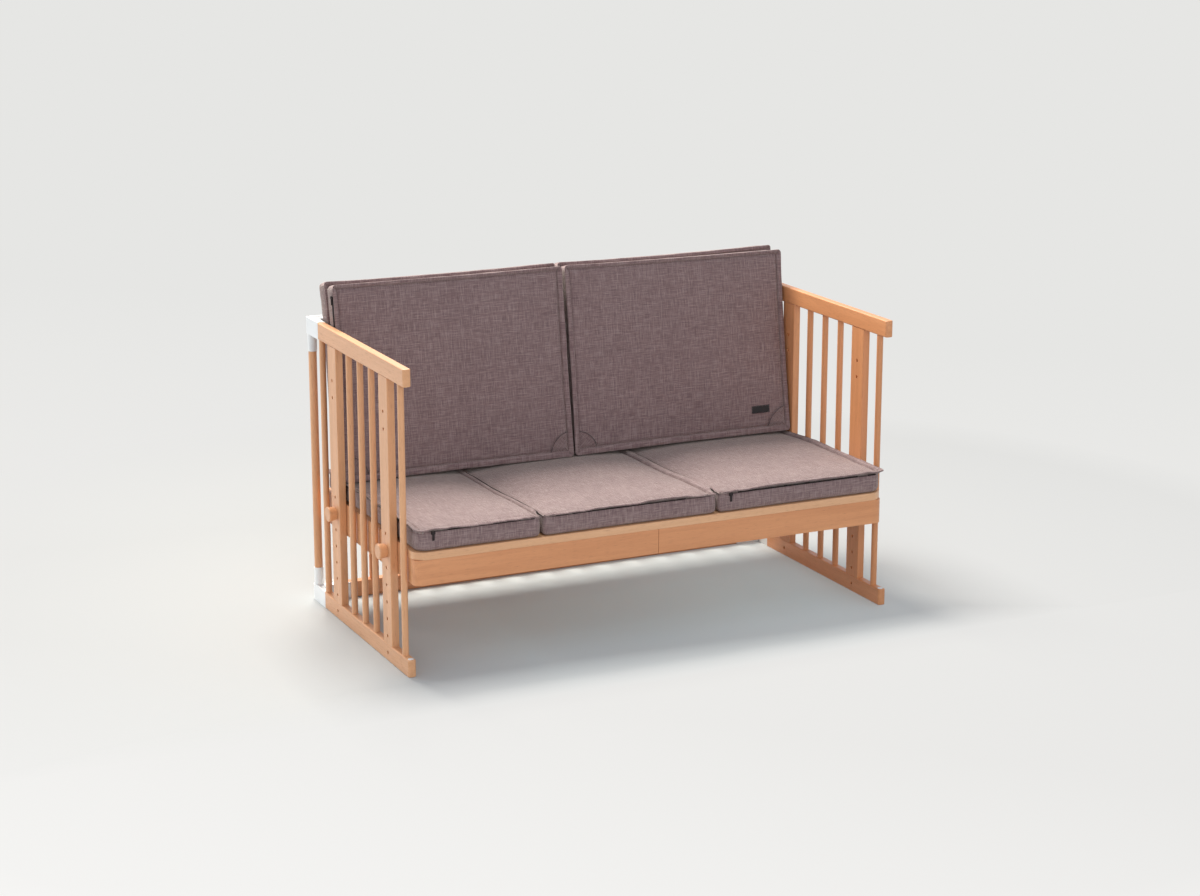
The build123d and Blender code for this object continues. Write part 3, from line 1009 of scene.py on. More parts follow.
    def blank(self) -> bpy.types.Mesh:
        """Make the plain closed pad that the cover is formed on.

        Returns:
            The pad's mesh.
        """
        rings = [self.ring(inset * MM, height * MM) for inset, height in self.foot]
        rings.append(self.ring(-self.belly, self.thick * 0.5))
        rings += [self.ring(inset * MM, self.thick - drop * MM) for inset, drop in self.shoulder]
        count = len(rings[0])
        faces = [tuple(range(count - 1, -1, -1))]
        for r, k in product(range(len(rings) - 1), range(count)):
            n = (k + 1) % count
            faces.append((r * count + k, r * count + n, (r + 1) * count + n, (r + 1) * count + k))
        faces.append(tuple((len(rings) - 1) * count + k for k in range(count)))
        mesh = bpy.data.meshes.new(self.name + "_blank")
        mesh.from_pydata(np.vstack(rings).tolist(), [], faces)
        return mesh

    def cut_cover(self) -> None:
        """Turn the plain pad into an even net of small faces, arched a little, ready to be filled."""
        blank = put(self.name + "_blank", self.blank())
        remesh = blank.modifiers.new("even_net", "REMESH")
        remesh.mode = "VOXEL"
        remesh.voxel_size = self.voxel
        net = formed(blank)
        bpy.data.objects.remove(blank)
        points = read_points(net)
        a, b = self.half_size()
        arch = np.clip(1 - (points[:, 0] / a) ** 2, 0, 1) * np.clip(1 - (points[:, 1] / b) ** 2, 0, 1)
        rise = arch ** self.arch_power * self.crown * self.arch_share
        points[:, 2] += rise * np.clip(points[:, 2] / self.thick, 0, 1) ** 3
        write_points(net, points)
        self.start = points
        self.stuffing = put(self.name + "_stuffing", net)

    def sew_down(self) -> None:
        """Hold the rest face and the sewn edge, and let pressure fill the rest."""
        points = self.start
        edge = np.minimum(*self.edge_room(points))
        seam = (edge < self.held_inset) & (points[:, 2] > self.thick - self.held_drop)
        rest = points[:, 2] < self.held_foot
        group = self.stuffing.vertex_groups.new(name=CLOTH["vertex_group_mass"])
        group.add(np.nonzero(seam | rest)[0].tolist(), 1.0, "REPLACE")
        cloth = self.stuffing.modifiers.new("filling", "CLOTH")
        for key, value in CLOTH.items():
            setattr(cloth.settings, key, value)
        cloth.settings.effector_weights.gravity = 0.0
        cloth.collision_settings.use_collision = False
        cloth.point_cache.frame_start = 1
        cloth.point_cache.frame_end = FILL_FRAMES

    def take_filling(self) -> None:
        """Keep what the pressure did, held back softly so that no point moves too far."""
        depsgraph = bpy.context.evaluated_depsgraph_get()
        filled = read_points(self.stuffing.evaluated_get(depsgraph).data)
        moved = filled - self.start
        far = np.linalg.norm(moved, axis=1, keepdims=True)
        top = self.start[:, 2:3] > self.thick - self.top_band
        room = np.where(top, self.swell_cap, self.side_cap)
        self.start = self.start + moved * room / (room + far)
        self.stuffing.modifiers.clear()

    def crease(self, points: np.ndarray) -> np.ndarray:
        """Add the cover's slack: slow waves over the top and short ripples beside the seams.

        Args:
            points: Points in the pad's own axes.

        Returns:
            The moved points.
        """
        a, b = self.half_size()
        out = points.copy()
        for k, (u, v, w) in enumerate(points):
            near_u, near_v = a - abs(u), b - abs(v)
            edge = max(min(near_u, near_v), 0.0)
            along = v if near_u < near_v else u
            top = held((w - self.thick + self.crease_band) / self.crease_band)
            if top > 0:
                slow = self.slow_slack.at(u, v, self.seed) + self.quick_slack.at(u, v, self.seed)
                ripple = self.ripples.at(along, edge, self.seed) * math.exp(-edge / self.ripple_reach)
                out[k, 2] += top * (slow + ripple) * MM
            elif w > self.crease_foot:
                bulge = self.bulges.at(along, w, self.seed) * MM
                if near_u < near_v:
                    out[k, 0] += math.copysign(bulge, u)
                else:
                    out[k, 1] += math.copysign(bulge, v)
        return out

    def pulled_down(self, points: np.ndarray) -> np.ndarray:
        """Press the line where the flange is sewn into the top, and tuck the side in under it.

        Args:
            points: Points in the pad's own axes.

        Returns:
            The moved points.
        """
        out = points.copy()
        near_u, near_v = self.edge_room(points)
        edge = np.minimum(near_u, near_v)
        by_u = near_u < near_v
        top = points[:, 2] > self.thick - self.seam_band
        for k in np.nonzero(top & (edge < self.seam_reach))[0]:
            lip = self.lips[edge_facing(by_u[k], points[k, 0], points[k, 1]).value]
            depth = self.seam_depth * min(0.6 + lip.inset / self.wide_inset, 1.4) * lip.roll
            out[k, 2] -= depth * math.exp(-((edge[k] - lip.inset) / self.seam_width) ** 2)
            if edge[k] < lip.inset:
                out[k, 2] -= self.lip_press
        tuck = np.exp(-((points[:, 2] - self.thick + self.tuck_drop) / self.tuck_width) ** 2) * self.tuck
        tuck *= np.clip(1 - edge / self.tuck_reach, 0, 1)
        out[:, 0] -= np.where(by_u, np.sign(points[:, 0]) * tuck, 0.0)
        out[:, 1] -= np.where(by_u, 0.0, np.sign(points[:, 1]) * tuck)
        return out

    def body_shell(self) -> Shell:
        """Form the filled cover and lay the weave over each of its faces.

        Returns:
            The cover, in the pad's own axes.
        """
        write_points(self.stuffing.data, self.crease(self.start))
        finer = self.stuffing.modifiers.new("finer", "SUBSURF")
        finer.levels = finer.render_levels = 1
        net = formed(self.stuffing)
        points = self.pulled_down(read_points(net))
        write_points(net, points)
        faces = [tuple(face.vertices) for face in net.polygons]
        weave = []
        for face, polygon in zip(faces, net.polygons):
            size = [abs(part) for part in polygon.normal]
            first, second = ((1, 2), (0, 2), (0, 1))[size.index(max(size))]
            weave += [(points[k, first] + self.seed, points[k, second]) for k in face]
        return Shell(points, faces, np.array(weave))

    def top_at(self, u: float, v: float) -> float:
        """Give the height of the cover's top over a place, or the pad's thickness beside it."""
        return height_over(self.surface, u, v, self.thick)

    def rim(self) -> tuple[np.ndarray, np.ndarray]:
        """Give the line that the flange follows round the top edge.

        Returns:
            The line's points, and at each the level direction out of the pad.
        """
        outer = self.ring(0.0, self.thick, self.flange_corner)
        tangent = np.roll(outer, -1, axis=0) - np.roll(outer, 1, axis=0)
        tangent /= np.linalg.norm(tangent, axis=1, keepdims=True)
        return outer, np.stack([tangent[:, 1], -tangent[:, 0], np.zeros(len(outer))], axis=1)

    def rim_edge(self, normal: np.ndarray) -> Edge:
        """Name the side that a point of the rim belongs to, by its direction out."""
        return edge_facing(abs(normal[0]) > abs(normal[1]), normal[0], normal[1])

    def lip_at(self, share: float, edge: Edge) -> tuple[float, ...]:
        """Blend the flange's measures round a corner.

        Args:
            share: How far along the side, from 0 to 1.
            edge: The side.

        Returns:
            The reach, the inset, the lift, the wave and the roll.
        """
        here = self.lips[edge.value]
        other = self.lips[(edge.value + (1 if share > 0.5 else 3)) % 4]
        nearness = max(0.0, 1 - min(share, 1 - share) / self.corner_blend) * 0.5
        return tuple(x * (1 - nearness) + y * nearness for x, y in zip(astuple(here), astuple(other)))

    def fullness(self, u: float, v: float) -> float:
        """Tell how full the flange is at a place.

        Args:
            u: The place's u.
            v: The place's v.

        Returns:
            1, or less towards a corner that the flange leaves bare.
        """
        a, b = self.half_size()
        away = [math.hypot(u - CORNERS[k][0] * a, v - CORNERS[k][1] * b) for k in self.bare]
        return min((held((far - self.bare_long) / self.bare_fade) for far in away), default=1.0)

    def sway(self, along: float) -> float:
        """Give the flange's rise and fall at a place along it, from about -1 to 1."""
        slow, quick = self.sway_counts
        return wander((along * slow, self.seed, 3.0)) + 0.45 * wander((along * quick, self.seed, 7.0))

    def flange_section(self, spot: np.ndarray, normal: np.ndarray, along: float) -> list[np.ndarray]:
        """Give the closed outline of a cut across the flange.

        Args:
            spot: The point of the rim.
            normal: The level direction out of the pad there.
            along: How far round the rim the point is.

        Returns:
            The outline's points: from the root over the crest to the tip, and back underneath.
        """
        (u, v), (a, b) = spot[:2], self.half_size()
        edge = self.rim_edge(normal)
        share = ((u + a) / (2 * a), (v + b) / (2 * b), (a - u) / (2 * a), (b - v) / (2 * b))[edge.value]
        reach, inset, lift, wave, roll = self.lip_at(share, edge)
        flat = self.fullness(u, v)
        pull = wander((along * self.pull_count, self.seed, 17.0)) * self.pull_depth
        reach = reach * flat + pull * flat + 0.4 * MM * (1 - flat)
        tip = self.thick + 0.5 * MM + (lift + wave * self.sway(along)) * flat - 2.2 * MM * (1 - flat)
        height, middle, level = (self.top_at(*(spot - normal * inset * far)[:2]) for far in (1.0, 0.5, 2.4))
        full = (0.35 + 0.65 * flat) * roll * MM
        crest = max(middle, height, level - 1.0 * MM) + 1.7 * full
        shoulder = (crest + tip) / 2 + 0.9 * full
        over = [(-inset - 0.8 * MM, height - 1.3 * MM), (-inset - 0.1 * MM, height + 0.2 * MM),
                (-inset + 0.6 * MM, height + 1.3 * full), (-inset + 1.9 * MM, crest - 0.3 * full),
                (-inset * 0.5, crest), (-0.6 * MM, shoulder),
                (reach - 1.7 * MM, tip + 1.2 * full), (reach - 0.5 * MM, tip + 0.9 * full)]
        under = [(reach, tip + 0.1 * MM), (reach - 0.3 * MM, tip - 0.8 * MM),
                 (reach - 1.5 * MM, tip - 1.2 * MM), (-1.5 * MM, min(tip, crest) - 1.7 * MM),
                 (-inset * 0.6, middle - 2.4 * MM), (-inset - 0.8 * MM, height - 2.8 * MM)]
        return [spot * (1, 1, 0) + normal * out + np.array((0, 0, w)) for out, w in over + under]

    def flange_shell(self) -> Shell:
        """Make the wavy sewn flange that runs round the top edge.

        Returns:
            The flange, in the pad's own axes.
        """
        outer, normals = self.rim()
        count = len(outer)
        step = np.linalg.norm(np.roll(outer, -1, axis=0) - outer, axis=1)
        along = np.concatenate([[0.0], np.cumsum(step)[:-1]])
        grid = np.array([self.flange_section(*cut) for cut in zip(outer, normals, along)])
        across = grid.shape[1]
        faces, weave = [], []
        for k, j in product(range(count), range(across)):
            n, m = (k + 1) % count, (j + 1) % across
            faces.append((k * across + j, n * across + j, n * across + m, k * across + m))
            s0, s1 = along[k], along[k] + step[k]
            t0, t1 = j * self.weave_pitch, (j + 1) * self.weave_pitch
            weave += [(s0, t0), (s1, t0), (s1, t1), (s0, t1)]
        return Shell(grid.reshape(-1, 3), faces, np.array(weave)).turned_out()

    def seam_line(self) -> np.ndarray:
        """Give the line that the flange is stitched along, on top of its inner part.

        Returns:
            The line's points, in the pad's own axes.
        """
        line = []
        for point, normal in zip(*self.rim()):
            lip = self.lips[self.rim_edge(normal).value]
            u, v, _ = point - normal * (lip.inset - self.stitch_inset)
            line.append((u, v, height_over(self.flange, u, v, self.thick) + self.stitch_rise))
        return np.array(line)

    def build(self) -> None:
        """Form the body and the flange."""
        body = self.body_shell()
        self.surface = body.tree()
        flange = self.flange_shell()
        self.flange = flange.tree()
        self.shells = [body, flange]

    def warped(self, points: np.ndarray) -> np.ndarray:
        """Settle the pad as it lies in use: its corners shift and its top is pressed in.

        Args:
            points: Points in the pad's own axes.

        Returns:
            The moved points.
        """
        a, b = self.half_size()
        su = np.clip((points[:, 0] + a) / (2 * a), 0, 1)[:, None]
        sv = np.clip((points[:, 1] + b) / (2 * b), 0, 1)[:, None]
        low_low, high_low, high_high, low_high = (np.array(move) for move in self.moves)
        shift = (low_low * (1 - su) * (1 - sv) + high_low * su * (1 - sv)
                 + high_high * su * sv + low_high * (1 - su) * sv)
        level = np.clip(points[:, 2:3] / self.thick, 0, 1)
        out = points + shift * (self.low_shift + (1 - self.low_shift) * level)
        for dent in self.dents:
            fade = np.exp(-((points[:, 0] - dent.u) / dent.reach_u) ** 2
                          - ((points[:, 1] - dent.v) / dent.reach_v) ** 2)
            out[:, 2] -= dent.depth * fade * np.clip(points[:, 2] / self.thick, 0, 1.2)
        return out

    def placed(self, points: np.ndarray) -> np.ndarray:
        """Turn points in the pad's own axes into the part's frame."""
        axes = np.array([tuple(axis) for axis in self.axes])
        return self.warped(points) @ axes + np.array(tuple(self.origin))

    def laid(self, shell: Shell) -> Shell:
        """Turn a skin in the pad's own axes into the part's frame."""
        return Shell(self.placed(shell.points), shell.faces, shell.weave)

    def finish(self, wardrobe: Wardrobe) -> None:
        """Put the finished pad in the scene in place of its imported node.

        Args:
            wardrobe: The finishes.
        """
        mesh = join_shells(self.name, [self.laid(shell) for shell in self.shells])
        piece = add_piece(self.name, mesh, wardrobe.fabric, self.body)
        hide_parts(self.node)
        bpy.data.objects.remove(self.stuffing)


@dataclass
class BeadRow:
    """Small rounded pieces at an even pitch along lines: stitches, or the teeth of a zip."""

    pitch: float
    long: float
    thick: float
    crosswise: bool = False
    sway: float = 0.12
    seed: int = 7

    def tree(self) -> bpy.types.GeometryNodeTree:
        """Build the node tree, with an input for each size.

        Returns:
            The node tree.
        """
        plan = NodePlan(bpy.data.node_groups.new("bead_row", "GeometryNodeTree"))
        kinds = {"Lines": "Geometry", "Pitch": "Float", "Long": "Float", "Thick": "Float",
                 "Sway": "Float", "Seed": "Int", "Finish": "Material"}
        for name, kind in kinds.items():
            plan.tree.interface.new_socket(name, in_out="INPUT", socket_type="NodeSocket" + kind)
        plan.tree.interface.new_socket("Beads", in_out="OUTPUT", socket_type="NodeSocketGeometry")
        given = plan.add("NodeGroupInput").outputs
        curve = plan.add("GeometryNodeMeshToCurve", {0: given["Lines"]})
        even = plan.add("GeometryNodeResampleCurve", {"Curve": curve.outputs[0], "Length": given["Pitch"]},
                        mode="LENGTH")
        bead = plan.add("GeometryNodeMeshIcoSphere", {"Radius": 0.5, "Subdivisions": 1})
        tangent = plan.add("GeometryNodeInputTangent")
        turn = plan.add("FunctionNodeAlignRotationToVector", {"Vector": tangent.outputs[0]}, axis="Z")
        least = plan.add("ShaderNodeMath", {0: 1.0, 1: given["Sway"]}, operation="SUBTRACT")
        chance = plan.add("FunctionNodeRandomValue", {2: least.outputs[0], 3: 1.0, "Seed": given["Seed"]},
                          data_type="FLOAT")
        wide, deep = ("Long", "Thick") if self.crosswise else ("Thick", "Long")
        size = plan.add("ShaderNodeCombineXYZ", {0: given[wide], 1: given[wide], 2: given[deep]})
        varied = plan.add("ShaderNodeVectorMath", {0: size.outputs[0], "Scale": chance.outputs[1]},
                          operation="SCALE")
        laid = plan.add("GeometryNodeInstanceOnPoints", {
            "Points": even.outputs[0], "Instance": bead.outputs[0], "Rotation": turn.outputs[0],
            "Scale": varied.outputs[0]})
        solid = plan.add("GeometryNodeRealizeInstances", {0: laid.outputs[0]})
        soft = plan.add("GeometryNodeSetShadeSmooth", {0: solid.outputs[0]})
        dressed = plan.add("GeometryNodeSetMaterial", {0: soft.outputs[0], "Material": given["Finish"]})
        plan.add("NodeGroupOutput", {0: dressed.outputs[0]})
        return plan.tree

    def mesh(self, name: str, lines: list[Line], material: bpy.types.Material) -> bpy.types.Mesh:
        """Set the pieces along lines.

        Args:
            name: The mesh's name.
            lines: Each line's points, and True where it closes on itself.
            material: The pieces' material.

        Returns:
            The plain mesh.
        """
        points, edges = [], []
        for line, closed in lines:
            start = len(points)
            points += [tuple(p) for p in line]
            edges += [(start + k, start + k + 1) for k in range(len(line) - 1)]
            if closed:
                edges.append((len(points) - 1, start))
        guide_mesh = bpy.data.meshes.new(name + "_line")
        guide_mesh.from_pydata(points, edges, [])
        guide = put(name + "_line", guide_mesh)
        modifier = guide.modifiers.new("beads", "NODES")
        modifier.node_group = self.tree()
        values = {"Pitch": self.pitch, "Long": self.long, "Thick": self.thick, "Sway": self.sway,
                  "Seed": self.seed, "Finish": material}
        for item in modifier.node_group.interface.items_tree:
            if item.item_type == "SOCKET" and item.in_out == "INPUT" and item.name in values:
                modifier[item.identifier] = values[item.name]
        made = formed(guide)
        made.name = name
        bpy.data.objects.remove(guide)
        return made


@dataclass
class CornerPatch:
    """A quarter-round patch sewn over a pad's corner, which stands off a little at its round edge."""

    corner: int
    radius: float
    inset: float = 2.5 * MM
    rise: float = 1.1 * MM
    mouth: float = 2.4 * MM
    mouth_start: float = 0.7
    mouth_length: float = 0.3
    cloth: float = 0.7 * MM
    tip: float = 0.06
    open_from: float = 0.9
    puffs: Slack = Slack(40.0, 40.0, 0.5, 31)
    shadow_cord_rise: float = 0.5 * MM
    rings: int = 11
    steps: int = 20

    def spot(self, pad: SewnPad, share: float, step: int) -> Span:
        """Give a place on the patch.

        Args:
            pad: The formed pad.
            share: How far out of the pad's corner, as a share of the radius.
            step: How far round the corner, in steps.

        Returns:
            The place's u and v.
        """
        su, sv = CORNERS[self.corner]
        a, b = (half - self.inset for half in pad.half_size())
        reach = self.radius * share
        angle = step / self.steps * math.pi / 2
        return su * (a - reach * math.cos(angle)), sv * (b - reach * math.sin(angle))

    def stand(self, share: float) -> float:
        """Tell how far the patch stands over the pad, at a share of its radius."""
        return self.rise + self.mouth * max(0.0, share - self.mouth_start) / self.mouth_length

    def shell(self, pad: SewnPad) -> Shell:
        """Lay the patch on a pad's top.

        Args:
            pad: The formed pad.

        Returns:
            The patch, in the pad's own axes.
        """
        top, under, weave = [], [], []
        for r in range(self.rings + 1):
            share = r / self.rings
            spots = [self.spot(pad, self.tip + (1 - self.tip) * share, k) for k in range(self.steps + 1)]
            bases = [pad.top_at(u, v) for u, v in spots]
            puffs = [self.puffs.at(u, v, pad.seed) * MM * share for u, v in spots]
            heights = [base + puff + self.stand(share) for base, puff in zip(bases, puffs)]
            backs = bases if share < self.open_from else heights
            top.append([(u, v, height) for (u, v), height in zip(spots, heights)])
            under.append([(u, v, back - self.cloth) for (u, v), back in zip(spots, backs)])
            weave.append([(u + v, u - v) for u, v in spots])
        return lattice_shell(np.array(top), np.array(under), np.array(weave))

    def arc(self, pad: SewnPad, share: float) -> np.ndarray:
        """Give a line on the patch beside its round edge.

        Args:
            pad: The formed pad.
            share: The line's distance from the pad's corner, as a share of the radius.

        Returns:
            The line's points, in the pad's own axes.
        """
        spots = [self.spot(pad, share, step) for step in range(2, self.steps - 1)]
        rise = self.stand(share) + self.shadow_cord_rise
        return np.array([(u, v, pad.top_at(u, v) + rise) for u, v in spots])


@dataclass
class BlankLabel:
    """The small blank black label on the right front back pad."""

    u: float = 215 * MM
    v: float = -168 * MM
    long: float = 50 * MM
    tall: float = 19 * MM
    rise: float = 1.0 * MM
    root: float = -0.4 * MM
    border_inset: float = 1.4 * MM
    border_rise: float = 1.1 * MM
    rows: int = 6
    columns: int = 16

    def grid(self, pad: SewnPad, inset: float, lift: float) -> np.ndarray:
        """Lay a grid of points on a pad.

        Args:
            pad: The formed pad.
            inset: How far the grid lies inside the label's edge.
            lift: How far it lies over the pad.

        Returns:
            The grid, rows by columns by three.
        """
        long, tall = self.long - 2 * inset, self.tall - 2 * inset
        across = [self.u + long * (j / self.columns - 0.5) for j in range(self.columns + 1)]
        upward = [self.v + tall * (i / self.rows - 0.5) for i in range(self.rows + 1)]
        return np.array([[(u, v, pad.top_at(u, v) + lift) for u in across] for v in upward])

    def shell(self, pad: SewnPad) -> Shell:
        """Make the label as a thin closed sheet on the pad."""
        top, under = self.grid(pad, 0.0, self.rise), self.grid(pad, 0.0, self.root)
        return lattice_shell(top, under, top[:, :, :2].copy())

    def border(self, pad: SewnPad) -> np.ndarray:
        """Give the line of stitches inside the label's edge."""
        grid = self.grid(pad, self.border_inset, self.border_rise)
        return np.vstack([grid[0], grid[1:, -1], grid[-1, -2::-1], grid[-2:0:-1, 0]])


@dataclass
class ZipRun:
    """A zip along one side of a pad, under its flange: a tape and a row of teeth."""

    edge: Edge
    start: float
    end: float
    drop: float
    tall: float
    pitch: float = 6 * MM
    root: float = -0.6 * MM
    edge_proud: float = 0.5 * MM
    swell: float = 0.35 * MM
    tooth_proud: float = 0.9 * MM
    ray_length: float = 0.9

    def spot(self, pad: SewnPad, along: float, height: float, proud: float) -> Triple:
        """Give a point on the pad's side.

        Args:
            pad: The formed pad.
            along: The place along the side, in the pad's own axes.
            height: The point's w.
            proud: How far it stands out of the cover.

        Returns:
            The point.
        """
        front = self.edge is Edge.FRONT
        out = Vector((0, -1, 0)) if front else Vector((-1, 0, 0))
        begin = Vector((along, 0, height)) if front else Vector((0, along, height))
        hit = pad.surface.ray_cast(begin + out * self.ray_length, -out)[0]
        return tuple((hit if hit is not None else begin) + out * proud)

    def places(self) -> np.ndarray:
        """Give even places along the zip."""
        return np.linspace(self.start, self.end, max(2, round((self.end - self.start) / self.pitch)))

    def tape(self, pad: SewnPad) -> Shell:
        """Make the tape as a thin strip on the pad's side.

        Args:
            pad: The formed pad.

        Returns:
            The tape, in the pad's own axes.
        """
        top, under, weave = [], [], []
        heights = [pad.thick - self.drop - self.tall * k / 4 for k in range(5)]
        prouds = [self.edge_proud + self.swell * (k in (1, 2, 3)) for k in range(5)]
        for along in self.places():
            top.append([self.spot(pad, along, height, proud) for height, proud in zip(heights, prouds)])
            under.append([self.spot(pad, along, height, self.root) for height in heights])
            weave.append([(along, height) for height in heights])
        return lattice_shell(np.array(top), np.array(under), np.array(weave))

    def tooth_line(self, pad: SewnPad) -> np.ndarray:
        """Give the line that the teeth stand on."""
        height = pad.thick - self.drop - self.tall / 2
        return np.array([self.spot(pad, along, height, self.tooth_proud) for along in self.places()])


@dataclass
class SeatCushions:
    """The three seat sections, side by side on the base, with their zips."""

    front_y: float = -320 * MM
    depth: float = 593 * MM
    base_z: float = 286.3 * MM
    thick: float = 49 * MM
    crown: float = 6 * MM
    flange: float = 3 * MM
    outer_corner: float = 28 * MM
    inner_corner: float = 7 * MM
    seed_step: float = 11.3
    right_shift: float = 5 * MM
    zip_end: float = 16 * MM
    spans: dict[str, Span] = field(default_factory=lambda: {
        "left": (-596 * MM, -291 * MM), "middle": (-290.4 * MM, 152.5 * MM),
        "right": (153.1 * MM, 596 * MM)})
    zip_starts: dict[str, float] = field(default_factory=lambda: {
        "left": 42 * MM, "middle": 14 * MM, "right": 33 * MM})
    zip_sizes: dict[str, Span] = field(default_factory=lambda: {
        "left": (3.2 * MM, 2.8 * MM), "middle": (3.2 * MM, 2.8 * MM), "right": (2.0 * MM, 4.6 * MM)})
    pads: dict[str, SewnPad] = field(default_factory=dict)

    def lips(self, name: str) -> tuple[Lip, Lip, Lip, Lip]:
        """Give the flange's sides for a section.

        Args:
            name: The section's name.

        Returns:
            The front, the right, the rear and the left side.
        """
        front = Lip(reach=6.4 * MM, inset=8.0 * MM, lift=0.4 * MM, wave=5.5 * MM, roll=1.7)
        rear = Lip(reach=3.0 * MM, inset=7.0 * MM, wave=0.8 * MM)
        if name == "left":
            return (front, Lip(reach=3.0 * MM, inset=5.0 * MM, lift=2.2 * MM, wave=0.5 * MM), rear,
                    Lip(reach=4.4 * MM, inset=9.0 * MM, lift=3.4 * MM, wave=2.6 * MM, roll=2.4))
        if name == "middle":
            return (front, Lip(reach=3.0 * MM, inset=14.0 * MM, lift=3.0 * MM, roll=1.9), rear,
                    Lip(reach=3.0 * MM, inset=3.5 * MM, lift=1.6 * MM, wave=0.5 * MM))
        return (Lip(reach=5.6 * MM, inset=8.0 * MM, lift=1.8 * MM, wave=3.6 * MM, roll=2.0),
                Lip(reach=1.2 * MM, inset=8.0 * MM, lift=3.4 * MM, wave=1.8 * MM, roll=2.2), rear,
                Lip(reach=3.0 * MM, inset=4.0 * MM, lift=2.4 * MM, wave=0.6 * MM))

    def dents(self, name: str, half: float) -> tuple[Dent, ...]:
        """Give the hollows of a section: under the back pads, and along its seams.

        Args:
            name: The section's name.
            half: Half the section's width.

        Returns:
            The hollows.
        """
        ends = {"left": (half,), "middle": (-half, half), "right": (-half,)}[name]
        under_back = Dent(u=0.0, v=200 * MM, reach_u=9.0, reach_v=100 * MM, depth=9.0 * MM)
        return (under_back, *(Dent(u=end, v=0.0, reach_u=70 * MM, reach_v=150 * MM, depth=9.0 * MM)
                              for end in ends))

    def plan(self) -> list[SewnPad]:
        """Lay out the three sections.

        Returns:
            Their pads.
        """
        outer, inner = self.outer_corner, self.inner_corner
        corners = {"left": (outer, inner, inner, outer), "middle": (inner,) * 4,
                   "right": (inner, outer, outer, inner)}
        bare = {"left": (1,), "middle": (0, 1), "right": (0,)}
        for number, (name, (low, high)) in enumerate(self.spans.items(), 1):
            long = high - low - 2 * self.flange
            shift = (self.right_shift, 0.0, 0.0) if name == "right" else STILL
            self.pads[name] = SewnPad(
                name="seat_cushion_" + name, node="seat_pad_" + name, body="seat_pads", long=long,
                wide=self.depth, thick=self.thick, crown=self.crown, corners=corners[name],
                lips=self.lips(name), axes=(Vector((1, 0, 0)), Vector((0, 1, 0)), Vector((0, 0, 1))),
                origin=Vector(((low + high) / 2, self.front_y + self.depth / 2, self.base_z)),
                seed=self.seed_step * number, dents=self.dents(name, long / 2), bare=bare[name],
                moves=(STILL, shift, STILL, STILL), flange_corner=0.25, draw_in=2.0 * MM)
        return list(self.pads.values())

    def zips(self) -> list[tuple[SewnPad, ZipRun]]:
        """Give the zips along the front.

        Returns:
            Each section's pad with its zip.
        """
        runs = []
        for name, pad in self.pads.items():
            start, end = -pad.long / 2 + self.zip_starts[name], pad.long / 2 - self.zip_end
            runs.append((pad, ZipRun(Edge.FRONT, start, end, *self.zip_sizes[name])))
        return runs


